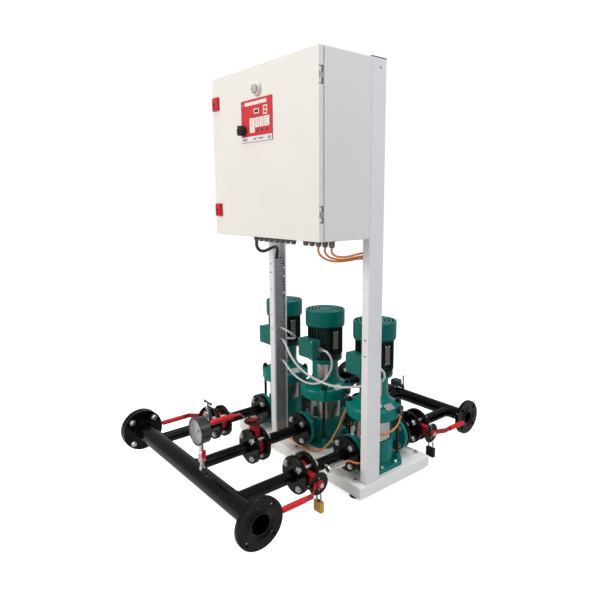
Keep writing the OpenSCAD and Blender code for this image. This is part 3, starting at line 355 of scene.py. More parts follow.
def smoothed(piece, angle=40):
    """Smooth faces with crisp edges; the wide faces keep the shading flat."""
    alone(piece)
    bpy.ops.object.shade_smooth_by_angle(angle=radians(angle))
    return applied(piece, "WEIGHTED_NORMAL", keep_sharp=True, weight=50)


def fitted(piece, name, body, node):
    """Names a finished piece, moves it into the part's frame and ties it to its body."""
    piece.name = piece.data.name = name
    piece.data.transform(Matrix.Translation(SHIFT * MM))
    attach(piece, body)
    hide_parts(node)


white_coat = finish("white_coat", (0.90, 0.895, 0.87), 0.40, cloud=(3, 0.02), grain=(700, 0.25, 0.0003),
                    patch=(14, 0.07))
base = block(*zip(BASE_X, BASE_Y, BASE_Z))
pick(base, "FACE", lambda f: f.normal.z < -0.9)
bpy.ops.mesh.inset(thickness=4 * MM)
drawn(0, 0, 46)
close()
pick(base, "EDGE", lambda e: all(near(v.co.x, *BASE_X) and near(v.co.y, *BASE_Y) for v in e.verts)
     or all(near(v.co.z, BASE_Z[1]) for v in e.verts))
bpy.ops.mesh.bevel(offset=3.2 * MM, segments=4)
close()
base = joined(base, *(block((x - 2, -204, 13), (x + 2, 228, 60)) for x in (-149, 149)))
smoothed(painted(eased(base, 0.5, 1), white_coat))
fitted(base, "base_plate", "frame", "base_frame")

# Six rubber feet, moulded round a steel bush that reaches up under the sheet. The foot
# has a tread of rings at the floor.
RIGHT, BACK, FRONT, UP, DOWN = (1, 0, 0), (0, 1, 0), (0, -1, 0), (0, 0, 1), (0, 0, -1)
FOOT_PLACES = [(x, y) for x in (-395, 0, 395) for y in (-181, 205)]


def along(facing, spin=0.0):
    """Turns +Z to a direction, after a spin about +Z."""
    return (Vector(UP).rotation_difference(Vector(facing)).to_matrix().to_4x4()
            @ Matrix.Rotation(spin, 4, "Z"))


def turned(profile, place=(0, 0, 0), facing=UP, sides=48, ring=False, spin=0):
    """A round shape drawn out ring by ring from (radius, height) steps in millimetres."""
    bpy.ops.object.select_all(action="DESELECT")
    bpy.ops.mesh.primitive_circle_add(vertices=sides, radius=profile[0][0] * MM,
                                      fill_type="NOTHING" if ring else "NGON")
    piece = bpy.context.object
    bpy.ops.object.mode_set(mode="EDIT")
    bpy.ops.mesh.select_mode(type="VERT")
    bpy.ops.mesh.select_all(action="SELECT")
    bpy.ops.transform.translate(value=(0, 0, profile[0][1] * MM))
    steps = profile[1:] + (profile[:1] if ring else [])
    for (r0, h0), (r1, h1) in zip(profile, steps):
        drawn(0, 0, h1 - h0)
        if r1 != r0:
            bpy.ops.transform.resize(value=(r1 / r0, r1 / r0, 1), center_override=(0, 0, 0))
    bpy.ops.mesh.select_all(action="SELECT")
    bpy.ops.mesh.remove_doubles(threshold=1e-5)
    bpy.ops.mesh.normals_make_consistent(inside=False)
    close()
    piece.matrix_world = Matrix.Translation(Vector(place) * MM) @ along(facing, radians(spin))
    return settle(piece)


def dowel(radius, low, high, place=(0, 0, 0), facing=UP, sides=24):
    """A plain round bar, which is also the drill for a hole."""
    return turned([(radius, low), (radius, high)], place, facing, sides)


def tube(inner, outer, low, high, place=(0, 0, 0), facing=UP, sides=24):
    """A plain round pipe or ring with square ends."""
    return turned([(inner, low), (outer, low), (outer, high), (inner, high)], place, facing, sides, ring=True)


def copied(piece, shift=(0, 0, 0), turn=None):
    """A copy with its own mesh, turned by a matrix and then moved in millimetres."""
    twin = piece.copy()
    twin.data = piece.data.copy()
    bpy.context.collection.objects.link(twin)
    if turn is not None:
        twin.data.transform(turn)
    twin.data.transform(Matrix.Translation(Vector(shift) * MM))
    return twin


def scrap(*pieces):
    for piece in pieces:
        bpy.data.objects.remove(piece)


def repeated(model, places):
    """One piece made of a model's copies at several places."""
    copies = [copied(model, place) for place in places]
    scrap(model)
    return joined(*copies)


rubber = finish("rubber", (0.016, 0.016, 0.017), 0.78, cloud=(40, 0.3), grain=(500, 0.4, 0.0004),
                patch=(60, 0.1))
foot = turned([(9, 0), (9, 0.8), (13, 0.8), (13, 0), (17, 0), (17, 0.8), (20, 0.8), (20, 0), (24.2, 0),
               (25, 1.5), (24.6, 4), (22.6, 11), (21.6, 13), (11, 13), (11, 58.6)], sides=36)
feet = painted(smoothed(repeated(foot, [(x, y, 0) for x, y in FOOT_PLACES]), 50), rubber)
fitted(feet, "rubber_feet", "frame", "base_feet")

# The two columns are folded channels of 3 mm sheet with turned lips, tie slots and a
# foot plate, powder coated. A black cap closes the top of each.
COLUMNS = (("column_left", -209.5, 1), ("column_right", 447.5, -1))
COLUMN_X, CABINET_BOLT_Z = (-192, 430), (1186, 1596)
COLUMN_Y, COLUMN_Z, COLUMN_DEPTH, COLUMN_SHEET = (-170.5, -95.5), (63, 1716), 35, 3
SLOT_Z = (600, 666, 790, 872, 913)


def cut(piece, *tools):
    """Cuts the tools' shapes out of a piece."""
    tool = joined(*tools) if len(tools) > 1 else tools[0]
    applied(piece, "BOOLEAN", operation="DIFFERENCE", object=tool, solver="EXACT")
    scrap(tool)
    return piece


column_coat = finish("column_coat", (0.76, 0.755, 0.765), 0.38, spec=0.3, cloud=(2.5, 0.03),
                     grain=(700, 0.25, 0.0003), patch=(10, 0.07))
cap_plastic = finish("cap_plastic", (0.02, 0.02, 0.022), 0.5, cloud=(50, 0.2), grain=(1500, 0.3, 0.0002))
caps = []
for (name, web_x, way), middle in zip(COLUMNS, COLUMN_X):
    bpy.ops.object.select_all(action="DESELECT")
    centre = Vector((web_x, sum(COLUMN_Y) / 2, sum(COLUMN_Z) / 2)) * MM
    bpy.ops.mesh.primitive_plane_add(size=1, location=centre, rotation=(0, pi / 2, 0))
    channel = bpy.context.object
    channel.scale = ((COLUMN_Z[1] - COLUMN_Z[0]) * MM, (COLUMN_Y[1] - COLUMN_Y[0]) * MM, 1)
    settle(channel)
    for edge_y, lip in zip(COLUMN_Y, (7.65, -7.65)):
        pick(channel, "EDGE", lambda e: all(near(v.co.y, edge_y) for v in e.verts))
        drawn(way * COLUMN_DEPTH, 0, 0)
        drawn(0, lip, 0)
        close()
    pick(channel, "EDGE", lambda e: not e.is_boundary)
    bpy.ops.mesh.bevel(offset=3.5 * MM, segments=4)
    bpy.ops.mesh.select_all(action="SELECT")
    bpy.ops.mesh.normals_make_consistent(inside=False)
    close()
    applied(channel, "SOLIDIFY", thickness=COLUMN_SHEET * MM, offset=0, use_even_offset=True)
    cut(channel, *[block((middle - 6, y - 4, z - dip), (middle + 6, y + 4, z - dip + 5))
                   for y, dip in zip(COLUMN_Y, (0, 25)) for z in SLOT_Z],
        *[dowel(4.25, -6, 6, (middle, COLUMN_Y[0], z), BACK, 20) for z in CABINET_BOLT_Z],
        dowel(5, -6, 6, (web_x, -127, 1684), RIGHT))
    plate_x = (web_x + 1.5, web_x + 33.5) if way > 0 else (web_x - 34, web_x - 1)
    plate = block((plate_x[0], -171, 63), (plate_x[1], -95, 68))
    channel = painted(smoothed(eased(joined(channel, plate), 0.35, 1, 60), 35), column_coat)
    fitted(channel, name + "_sheet", "frame", name)
    caps.append(slab(cap_plastic, (middle - 19, -172, 1716), (middle + 19, -94, 1720), 1.2))

# Slotted plastic trunking stands in each column and takes the cables down. Its comb of
# fingers shows through the open side of the channel.


def slotted_duct(low, high, run, side, split, rim, pitch, count, wall):
    """A duct along one axis: a slot is cut in the side walls of one step, which repeats."""
    step, way = block(low, high), Matrix.Identity(3)[run]
    without(step, lambda f: abs(f.normal[run]) > 0.9)
    pick(step, "FACE", lambda f: True)
    bpy.ops.mesh.bisect(plane_co=way * split * MM, plane_no=way)
    close()
    pick(step, "FACE", lambda f: f.calc_center_median()[run] > split * MM and abs(f.normal[side]) > 0.9)
    bpy.ops.mesh.inset(thickness=rim * MM)
    bpy.ops.mesh.delete(type="FACE")
    close()
    applied(step, "ARRAY", count=count, use_relative_offset=False, use_constant_offset=True,
            constant_offset_displace=way * pitch * MM, use_merge_vertices=True, merge_threshold=1e-4)
    return applied(step, "SOLIDIFY", thickness=wall * MM, offset=0)


duct_plastic = finish("duct_plastic", (0.34, 0.345, 0.37), 0.55, cloud=(20, 0.12), grain=(1200, 0.25, 0.0002))
ducts = [slotted_duct((x, -160, 123), (x + 22, -106, 135.568), run=2, side=0, split=131, rim=0.5,
                      pitch=12.569, count=65, wall=2) for x in (-207, 423)]
ducts = painted(smoothed(joined(*ducts), 30), duct_plastic)
fitted(ducts, "cable_trunking", "frame", "cable_ducts")

# Zinc-plated bolts hold the feet, pumps, columns and cabinet. Each has a washer and a
# hexagon head, with a nut on the far side of the sheet.
zinc = finish("zinc", (0.66, 0.66, 0.64), 0.30, metal=1.0, cloud=(120, 0.12), grain=(900, 0.25, 0.0002),
              patch=(200, 0.12), fleck=(260, 0.35, (0.72, 0.70, 0.60)))
PUMPS = (-320, 0, 320)
PUMP_PLACES = [(x, 0, 0) for x in PUMPS]


def hexagon(across, height, place=(0, 0, 0), facing=UP):
    """A nut or bolt head with its corners taken off at the far end."""
    corner = across / sqrt(3)
    return turned([(corner * 0.93, 0), (corner, 0.07 * height), (corner, 0.84 * height),
                   (corner * 0.86, height)], place, facing, 6)


def stud_end(radius, length, pitch=1.5):
    """The threaded end of a bolt: turns of thread drawn as rings."""
    steps = [(radius - 0.6, 0)]
    for turn in range(int(length / pitch)):
        steps += [(radius, (turn + 0.5) * pitch), (radius - 0.6, (turn + 1) * pitch)]
    return steps + [(radius - 1.2, length)]


def set_bolt(radius, across, grip):
    """Head and washer above z = grip, and the shank below it to z = 0."""
    rim, edge = across * 0.60, across * 0.62
    return joined(dowel(radius, 0, grip + 1, sides=20),
                  turned([(rim, grip), (edge, grip + 0.4), (edge, grip + 1.6), (rim, grip + 2)], sides=32),
                  hexagon(across, across * 0.45, (0, 0, grip + 2)))


through_feet = set_bolt(5, 17, 54.9)
through_pumps = joined(set_bolt(5, 17, 40), hexagon(17, 8, (0, 0, 8)))
through_columns = joined(set_bolt(5, 17, 25), hexagon(17, 8, (0, 0, 8)))
to_cabinet = joined(set_bolt(4, 13, 5), hexagon(13, 5, (0, 0, -5)))
fixings = [copied(through_feet, (x, y, 8)) for x, y in FOOT_PLACES]
fixings += [copied(through_pumps, (320 * k + x, y, 43), Matrix.Rotation(0.7 * k + x + y, 4, "Z"))
            for k in (-1, 0, 1) for x in (-93, 93) for y in (-42, 42)]
fixings += [copied(through_columns, (x, y, 43)) for x in COLUMN_X for y in (-152, -114)]
fixings += [copied(to_cabinet, (x, -174, z), Matrix.Rotation(-pi / 2, 4, "X"))
            for x in COLUMN_X for z in CABINET_BOLT_Z]
scrap(through_feet, through_pumps, through_columns, to_cabinet)
fixings = joined(smoothed(painted(joined(*fixings), zinc), 30), *caps)
fitted(fixings, "bolts_and_caps", "frame", "frame_fixings")

# The cabinet shell is a folded and welded tub of 2 mm sheet with a rim round its front
# and a lip that the door's seal closes on. It is powder coated warm light grey.
cabinet_coat = finish("cabinet_coat", (0.75, 0.735, 0.705), 0.42, spec=0.3, cloud=(2, 0.02),
                      grain=(650, 0.3, 0.0003), patch=(8, 0.06))
CABINET_X, CABINET_Z, CABINET_SHEET = (-251, 449), (1066, 1716), 2
SHELL_FRONT, SHELL_BACK, DOOR_FRONT, DOOR_BACK = -399, -172, -422, -403
PANEL_STUDS = [(x, z) for x in (-191, 389) for z in (1126, 1656)]
GLANDS, GLAND_Y = [-129 + 38 * i for i in range(7)] + [137] + [217 + 38 * i for i in range(5)], -292
shell = block((CABINET_X[0], SHELL_FRONT, CABINET_Z[0]), (CABINET_X[1], SHELL_BACK, CABINET_Z[1]))
pick(shell, "EDGE", lambda e: True)
bpy.ops.mesh.bevel(offset=3 * MM, segments=3)
close()
pick(shell, "FACE", lambda f: f.normal.y < -0.999)
bpy.ops.mesh.inset(thickness=12 * MM)
drawn(0, -9, 0)
bpy.ops.mesh.delete(type="FACE")
close()
applied(shell, "SOLIDIFY", thickness=CABINET_SHEET * MM, offset=-1, use_even_offset=True,
        use_quality_normals=True)
cut(shell, *[dowel(10.2, 1060, 1072, (x, GLAND_Y, 0)) for x in GLANDS],
    *[dowel(4.25, -178, -168, (x, 0, z), BACK, 16) for x in COLUMN_X for z in CABINET_BOLT_Z])
studs = [dowel(6, -188, -173, (x, 0, z), BACK, 20) for x, z in PANEL_STUDS]
shell = painted(smoothed(joined(shell, *studs), 35), cabinet_coat)
fitted(shell, "cabinet_shell", "frame", "cabinet_body")

# Behind the door a galvanised steel plate carries the switchgear. Four studs hold it off
# the cabinet's back, each with a nut.
galvanised = finish("galvanised", (0.62, 0.64, 0.66), 0.36, metal=1.0, cloud=(30, 0.08),
                    grain=(300, 0.2, 0.0002), patch=(60, 0.1), fleck=(90, 0.5, (0.76, 0.78, 0.80)))
plate = joined(block((-211, -190, 1106), (409, -188, 1676), 0.6),
               *[hexagon(17, 5, (x, -189.8, z), FRONT) for x, z in PANEL_STUDS])
plate = painted(smoothed(plate, 30), galvanised)
fitted(plate, "mounting_panel", "frame", "mounting_plate")

# The switchgear: four motor breakers, three contactors, the controller, its supply, a
# row of terminals and three slotted wiring ducts, all moulded plastic.
device_grey = finish("device_grey", (0.17, 0.175, 0.18), 0.5, cloud=(15, 0.08), grain=(1500, 0.25, 0.0002))
device_pale = finish("device_pale", (0.60, 0.60, 0.57), 0.5, cloud=(15, 0.04), grain=(1500, 0.25, 0.0002))
device_blue = finish("device_blue", (0.05, 0.13, 0.30), 0.4, cloud=(30, 0.1), grain=(1500, 0.2, 0.0002))
screen_glass = finish("screen_glass", (0.02, 0.045, 0.035), 0.12, cloud=(40, 0.3), grain=(300, 0.02, 0.0001))
duct_grey = finish("duct_grey", (0.46, 0.47, 0.47), 0.5, cloud=(15, 0.05), grain=(1200, 0.25, 0.0002))
FIRST_X, DEVICE_PITCH, POLE_PITCH, PLATE_FACE = -161, 62, 15.3, -190


def screw(x, y, z, radius, facing=FRONT):
    """A sunk cross-slot screw head."""
    head = turned([(radius, 0), (radius, 1.2), (radius * 0.8, 1.6)], (x, y, z), facing, 16)
    reach, half = radius * 0.7, 0.35
    for across, up in ((reach, half), (half, reach)):
        tool = block((-across, -up, 0.9), (across, up, 3))
        tool.data.transform(Matrix.Translation(Vector((x, y, z)) * MM) @ along(facing))
        cut(head, tool)
    return painted(head, zinc)


pole = joined(slab(device_pale, (0, -246, 1491), (15, PLATE_FACE, 1586), 0.8),
              slab(device_pale, (0, -254, 1516), (15, -245, 1561), 0.8),
              slab(device_blue, (4, -260, 1534), (11, -253, 1550), 0.8),
              screw(7.5, -246, 1500, 3), screw(7.5, -246, 1577, 3))
contactor = joined(slab(device_grey, (0, -262, 1336), (46, PLATE_FACE, 1421), 1.2),
                   slab(device_grey, (4, -274, 1352), (42, -261, 1405), 1.2),
                   slab(device_pale, (17, -274, 1371), (29, -273.4, 1386), 0.2),
                   *[screw(8 + 15 * i, -262, z, 3.2) for i in range(3) for z in (1344, 1413)])
gear = [copied(pole, (FIRST_X + DEVICE_PITCH * i + POLE_PITCH * k, 0, 0)) for i in range(4) for k in range(3)]
gear += [copied(contactor, (FIRST_X + DEVICE_PITCH * i, 0, 0)) for i in range(3)]
scrap(pole, contactor)
controller = [slab(device_grey, (159, -243, 1456), (299, PLATE_FACE, 1586), 2),
              slab(device_pale, (163, -247, 1460), (295, -242, 1582), 1.2),
              slab(screen_glass, (172, -248, 1520), (246, -246, 1568), 0.4)]
controller += [slab(device_grey, (x, -250, z), (x + 12, -246, z + 10), 0.8)
               for x in (256, 274) for z in (1526, 1542, 1558)]
controller += [slab(device_blue, (x, -250, 1463), (x + 8, -246, 1476), 0.4) for x in range(166, 286, 10)]
supply = [slab(device_grey, (319, -260, 1476), (369, PLATE_FACE, 1576), 1.5),
          slab(device_blue, (323, -265, 1482), (365, -259, 1494), 0.6)]
supply += [screw(x, -265, 1488, 2.2) for x in range(327, 367, 8)]
supply += [slab(duct_grey, (325, -260.6, z), (363, -259, z + 3), 0.3) for z in range(1512, 1560, 8)]
terminal = joined(slab(device_pale, (0, -226, 1156), (6.2, PLATE_FACE, 1206), 0.4),
                  slab(device_pale, (0.8, -235, 1164), (5.4, -225, 1198), 0.6),
                  slab(device_grey, (1.6, -235.0, 1177), (4.6, -234.4, 1185), 0.1))
applied(terminal, "ARRAY", count=80, use_relative_offset=False, use_constant_offset=True,
        constant_offset_displace=(6.5 * MM, 0, 0))
terminal.data.transform(Matrix.Translation((FIRST_X * MM, 0, 0)))
gear += [joined(*controller), joined(*supply), terminal]
for z in (1616, 1426, 1256):
    duct = slotted_duct((-181, -239, z + 1), (-170.8, -191, z + 25), run=0, side=2, split=-176, rim=0.4,
                        pitch=10.18, count=55, wall=1.6)
    gear.append(joined(painted(duct, duct_grey), slab(duct_grey, (-181, -240, z), (379, -237, z + 26), 0.8)))
fitted(smoothed(joined(*gear), 30), "switchgear", "frame", "cabinet_devices")

# A foam seal lies in the door, all the way round, where the cabinet's lip presses it. It
# is one ring with soft edges.
seal_foam = finish("seal_foam", (0.02, 0.02, 0.021), 0.85, cloud=(60, 0.3), grain=(420, 0.7, 0.0006))
seal = block((-237, -420, 1080), (435, -408.3, 1702))
pick(seal, "FACE", lambda f: abs(f.normal.y) > 0.9)
bpy.ops.mesh.inset(thickness=10 * MM)
bpy.ops.mesh.bridge_edge_loops()
close()
seal = painted(smoothed(eased(seal, 2.5, 3), 40), seal_foam)
fitted(seal, "door_seal", "door", "door_gasket")

# The door is a shallow folded tub of the same sheet, cut out for its locks, lamp, switch
# and controls. Its hinge knuckles stand inside the folded edge.
LOCK_X, LOCKS = -216, (("lower", 1171), ("upper", 1611))
HINGE_X, HINGE_Y, HINGE_Z = 444, -414, (1161, 1621)
LAMP, SWITCH = (90, 0, 1627), (-6, 0, 1482)
door = block((CABINET_X[0], DOOR_FRONT, CABINET_Z[0]), (CABINET_X[1], DOOR_BACK, CABINET_Z[1]))
pick(door, "EDGE", lambda e: any(near(v.co.y, DOOR_FRONT) for v in e.verts))
bpy.ops.mesh.bevel(offset=3 * MM, segments=4)
close()
without(door, lambda f: f.normal.y > 0.99)
applied(door, "SOLIDIFY", thickness=CABINET_SHEET * MM, offset=-1, use_even_offset=True)
cut(door, *[block((446, -421, z - 30), (450, -402, z + 30)) for z in HINGE_Z],
    *[dowel(10.1, 418, 424, (LOCK_X, 0, z), FRONT, 32) for _, z in LOCKS],
    dowel(11.2, 418, 424, LAMP, FRONT, 32), dowel(6, 418, 424, SWITCH, FRONT),
    block((22, -424, 1460), (166, -418, 1567)))
knuckles = []
for low in [z + end for z in HINGE_Z for end in (11, -25)]:
    knuckles += [tube(3.05, 5, 0, 14, (HINGE_X, HINGE_Y, low)),
                 block((439, -421, low), (448, -417.6, low + 14), 0.4),
                 block((439, -418, low), (440.8, HINGE_Y, low + 14)),
                 block((447.2, -418, low), (448, HINGE_Y, low + 14))]
door = painted(smoothed(joined(door, *knuckles), 35), cabinet_coat)
fitted(door, "door_leaf", "door", "cabinet_door")

# Two zinc-plated hinge pins, each on an arm that is welded to the cabinet's rim. The
# door's knuckles turn on them.
hinges = []
for z in HINGE_Z:
    hinges += [turned([(2.4, -26), (3, -25), (3, 25), (2.4, 26)], (HINGE_X, HINGE_Y, z), sides=20),
               eased(dowel(4.4, -10, 10, (HINGE_X, HINGE_Y, z)), 0.4),
               block((442, -413, z - 10), (446, SHELL_FRONT, z + 10), 0.5)]
hinges = painted(smoothed(joined(*hinges), 35), zinc)
fitted(hinges, "hinge_pins", "frame", "door_hinges")

# Two red moulded lock cases on the door's free side, with a stepped rim. The plug in
# each is black, with a three-cornered key hole and a steel tongue behind.
lock_red = finish("lock_red", (0.60, 0.010, 0.022), 0.33, coat=0.08, spec=0.35, cloud=(30, 0.1),
                  grain=(1200, 0.15, 0.0002))
plug_black = finish("plug_black", (0.018, 0.018, 0.02), 0.4, cloud=(60, 0.3), grain=(1500, 0.3, 0.0002))
cases = []
for name, z in LOCKS:
    place = (LOCK_X, 0, z)
    for low, high, ease in (((-239, -431, z - 27), (-193, DOOR_FRONT, z + 27), 2.2),
                            ((-235, -434, z - 23), (-197, -430, z + 23), 1.4)):
        case = slab(lock_red, low, high, ease, 3)
        cases.append(cut(case, dowel(9.0, 418, 440, place, FRONT, 32)))
    cases += [painted(turned([(7.05, 408), (10, 408), (10, 434.4), (8.2, 435.2), (7.05, 434.4)],
                             place, FRONT, 36, ring=True), lock_red),
              slab(plug_black, (-224, -434.3, z - 18), (-208, -433.8, z - 13), 0.2)]
    plug = turned([(6.9, 391.5), (7, 392.5), (7, 435), (6.3, 436)], place, FRONT, 36)
    cut(plug, turned([(4.6, 430), (4.6, 438)], place, FRONT, 3, spin=90))
    tongue = slab(zinc, (-222, -394.5, z - 6), (-210, -391.5, z + 30), 0.8)
    plug = smoothed(joined(painted(plug, plug_black), tongue), 35)
    fitted(plug, f"lock_plug_{name}", f"{name}_lock", f"door_lock_{name}")
fitted(smoothed(joined(*cases), 40), "lock_cases_red", "door", "lock_cases")

# The control panel is a red printed plate with pale blank fields, a row of small lamps,
# a dark display and a grey strip along its foot.
panel_red = finish("panel_red", (0.56, 0.028, 0.035), 0.36, spec=0.3, cloud=(14, 0.07),
                   grain=(900, 0.12, 0.0002))
field_pale = finish("field_pale", (0.78, 0.70, 0.67), 0.4, cloud=(50, 0.05), grain=(900, 0.12, 0.0002))
strip_grey = finish("strip_grey", (0.68, 0.71, 0.73), 0.35, cloud=(60, 0.06), grain=(900, 0.12, 0.0002))
mark_grey = finish("mark_grey", (0.25, 0.27, 0.28), 0.4, cloud=(60, 0.1), grain=(900, 0.12, 0.0002))
led_green = finish("led_green", (0.05, 0.35, 0.10), 0.2, cloud=(200, 0.2), grain=(900, 0.1, 0.0001))
BUTTON_X, BUTTON_Z, PANEL_FRONT = (86, 118, 148), 1477, -425
panel = slab(panel_red, (-23, PANEL_FRONT, 1435), (186, DOOR_FRONT, 1595), 0.8)
cut(panel, *[dowel(5.25, 418, 430, (x, 0, BUTTON_Z), FRONT) for x in BUTTON_X],
    dowel(4.05, 418, 430, SWITCH, FRONT))
FIELDS = [((4, 1573), (152, 1586), field_pale), ((68, 1539), (101, 1558), field_pale),
          ((129, 1531), (156, 1564), field_pale), ((37, 1470), (72, 1525), field_pale),
          ((76, 1488), (100, 1525), field_pale), ((104, 1488), (132, 1525), field_pale),
          ((136, 1488), (169, 1525), field_pale), ((-22, 1436), (185, 1457), strip_grey)]
MARKS = [((-17, 1574), (-8, 1583), mark_grey), ((72, 1543), (97, 1554), screen_glass),
         ((-12, 1441), (18, 1451), mark_grey), ((60, 1443), (84, 1450), mark_grey),
         ((96, 1443), (128, 1450), mark_grey), ((160, 1441), (176, 1451), mark_grey),
         ((133, 1536), (152, 1545), panel_red), ((133, 1550), (152, 1559), panel_red)]
labels = [slab(paint, (x0, PANEL_FRONT - rise, z0), (x1, -424.9, z1), 0.15, 1)
          for group, rise in ((FIELDS, 0.5), (MARKS, 0.7)) for (x0, z0), (x1, z1), paint in group]
lamps = [painted(turned([(2.2, 425), (2.2, 426.4), (1.4, 427)], (x, 0, z), FRONT, 16), paint)
         for x in (54, 88, 118, 152) for z, paint in ((1518, led_green), (1508, lock_red), (1498, mark_grey))]
panel = smoothed(joined(panel, *labels, *lamps), 35)
fitted(panel, "control_plate", "door", "control_panel")

# Three push buttons with domed caps, moulded in dark plastic. Each is guided in the panel
# by its own shoulder.
button_cap = finish("button_cap", (0.10, 0.10, 0.105), 0.35, coat=0.2, cloud=(60, 0.15),
                    grain=(1500, 0.2, 0.0002))
for i, x in enumerate(BUTTON_X):
    button = turned([(6.8, 418.7), (6.8, 421.7), (5.2, 421.7), (5.2, 428.6), (4.6, 429.3), (3.2, 429.5)],
                    (x, 0, BUTTON_Z), FRONT, 32)
    painted(smoothed(button, 40), button_cap)
    fitted(button, f"push_button_{i + 1}", f"button_{i + 1}", f"panel_button_{i + 1}")

# The main switch is a black rotary handle: a round base, a fluted collar and a bar grip
# with a pale pointer.
collar = turned([(19.5, 425.3), (21, 426), (21, 430), (19.8, 431.3), (14.5, 431.3), (14.5, 436),
                 (13.4, 450), (12.4, 451.3)], SWITCH, FRONT, 48)
flutes = [block((12.3, -436, -0.9), (14.1, -449, 0.9)) for _ in range(12)]
for i, flute in enumerate(flutes):
    flute.data.transform(Matrix.Translation(Vector(SWITCH) * MM)
                         @ Matrix.Rotation(radians(30 * i + 15), 4, "Y"))
cut(collar, *flutes)
switch = joined(painted(collar, plug_black), slab(plug_black, (-11, -455.3, 1463), (-1, -431, 1501), 2.4, 3),
                slab(field_pale, (-7, -455.6, 1488), (-5, -455.1, 1499), 0.1, 1),
                painted(dowel(4, 402.3, 426, SWITCH, FRONT, 20), zinc))
fitted(smoothed(switch, 40), "rotary_handle", "main_switch", "main_switch")

# The signal lamp has a white ring and a ribbed milky lens, both moulded plastic. Its
# shank passes through the door's sheet.
lamp_ring = finish("lamp_ring", (0.74, 0.74, 0.73), 0.3, cloud=(40, 0.04), grain=(1200, 0.15, 0.0002))
lens_milk = finish("lens_milk", (0.60, 0.62, 0.62), 0.15, coat=0.5, cloud=(80, 0.1), grain=(300, 0.1, 0.0002))
lens_milk.node_tree.nodes["Principled BSDF"].inputs["Transmission Weight"].default_value = 0.35
ring = turned([(11, 401), (11, 422), (23, 422), (25, 424), (25, 429), (22, 433.4), (19.6, 434)],
              LAMP, FRONT, 64)
lens = turned([(19, 433), (19, 436), (18, 436.6), (18.6, 437.4), (17.6, 438), (18, 438.8), (17, 439.4),
               (17.2, 440.2), (16.2, 441), (14.6, 443), (11, 443.8), (5, 444)], LAMP, FRONT, 64)
lamp = smoothed(joined(painted(ring, lamp_ring), painted(lens, lens_milk)), 35)
fitted(lamp, "lamp_head", "door", "signal_lamp")

# Thirteen plastic cable glands pass through the cabinet's floor: a nut inside, a hexagon
# under it, and a clamping nut that narrows down to the cable. Nine of them are plugged.
gland_grey = finish("gland_grey", (0.13, 0.125, 0.12), 0.5, cloud=(30, 0.12), grain=(1300, 0.3, 0.0002))
IN_USE = [route[0][0] for route in [SUPPLY] + SENSOR_TAILS]
gland = joined(hexagon(28, 9, (0, 0, 1066), DOWN), dowel(10, 1065, 1076), hexagon(26, 5, (0, 0, 1068)),
               turned([(5, 1038), (5, 1034), (8.6, 1034), (9.6, 1035), (11.2, 1042), (12, 1043), (12, 1057),
                       (11, 1058), (5, 1058)], sides=14, ring=True))
glands = []
for x in GLANDS:
    glands.append(copied(gland, (x, GLAND_Y, 0)))
    if x not in IN_USE:
        glands.append(dowel(5.2, 1033.6, 1040, (x, GLAND_Y, 0), sides=20))
scrap(gland)
glands = painted(smoothed(eased(joined(*glands), 0.35, 1), 30), gland_grey)
fitted(glands, "gland_row", "frame", "cable_glands")

# The two headers are black painted steel pipes with three welded branches each, welded
# flanges and rippled weld beads. Their +X ends are open, with a grooved sealing face.
pipe_black = finish("pipe_black", (0.0015, 0.0015, 0.002), 0.17, coat=0.12, spec=0.16, cloud=(12, 0.3),
                    grain=(240, 0.12, 0.0003), patch=(18, 0.07))
AXIS, HEADER_Y, CLOSED_X = 153, (-724, 551), (-501, -437)
BRANCH_BORE, BRANCH_R, THICK, BEAD = 21.25, 24.15, 18, 2.6
FRONT_END, REAR_END, BRANCH_END = (92.5, 145, 60.5), (82.5, 125, 50.5), (75, 110, 44)


def ring_at(radius, place, facing, count=4, start=45):
    """Points on a circle that faces along X or along Y."""
    x, y, z = place
    angles = [radians(start + 360 / count * i) for i in range(count)]
    if facing[0]:
        return [(x, y + radius * cos(a), z + radius * sin(a)) for a in angles]
    return [(x + radius * cos(a), y, z + radius * sin(a)) for a in angles]


def rod(points, radius, closed=False, ripple=0.0):
    """A round bar or a weld bead bent along points in millimetres."""
    line = bpy.data.curves.new("rod", "CURVE")
    line.dimensions = "3D"
    line.bevel_depth = radius * MM
    line.bevel_resolution = 2
    line.use_fill_caps = not closed
    spline = line.splines.new("POLY")
    spline.points.add(len(points) - 1)
    for i, (knot, point) in enumerate(zip(spline.points, points)):
        knot.co = [*(c * MM for c in point), 1]
        knot.radius = 1 - ripple * (i % 2)
    spline.use_cyclic_u = closed
    piece = bpy.data.objects.new("rod", line)
    bpy.context.collection.objects.link(piece)
    alone(piece)
    bpy.ops.object.convert(target="MESH")
    return bpy.context.object


def weld(radius, place, facing, count, thick=BEAD):
    """A rippled bead round a pipe."""
    return rod(ring_at(radius, place, facing, count, 0), thick, True, 0.2)


def fused(piece, *others):
    """Makes one closed skin of overlapping solids."""
    for other in others:
        applied(piece, "BOOLEAN", operation="UNION", object=other, solver="EXACT")
        scrap(other)
    return piece


def drilled(piece, circle, place, facing):
    """Drills a flange for its four M16 bolts."""
    return cut(piece, *[dowel(9, -1, 20, hole, facing) for hole in ring_at(circle / 2, place, facing)])


def flange(radius, circle, face, bore, place, facing, grooved=False):
    """A flange behind its sealing face, drilled for four bolts."""
    steps = [(bore, 0)]
    if grooved:
        for i in range(int((face - bore - 4) / 2)):
            steps += [(bore + 3 + 2 * i, 0), (bore + 4 + 2 * i, 0.5)]
    steps += [(face - 0.6, 0), (face, 0.5), (face, 2), (radius - 1, 2), (radius, 2.9), (radius, 17.1),
              (radius - 1, THICK), (bore, THICK)]
    return drilled(turned(steps, place, facing, 96, ring=True), circle, place, facing)


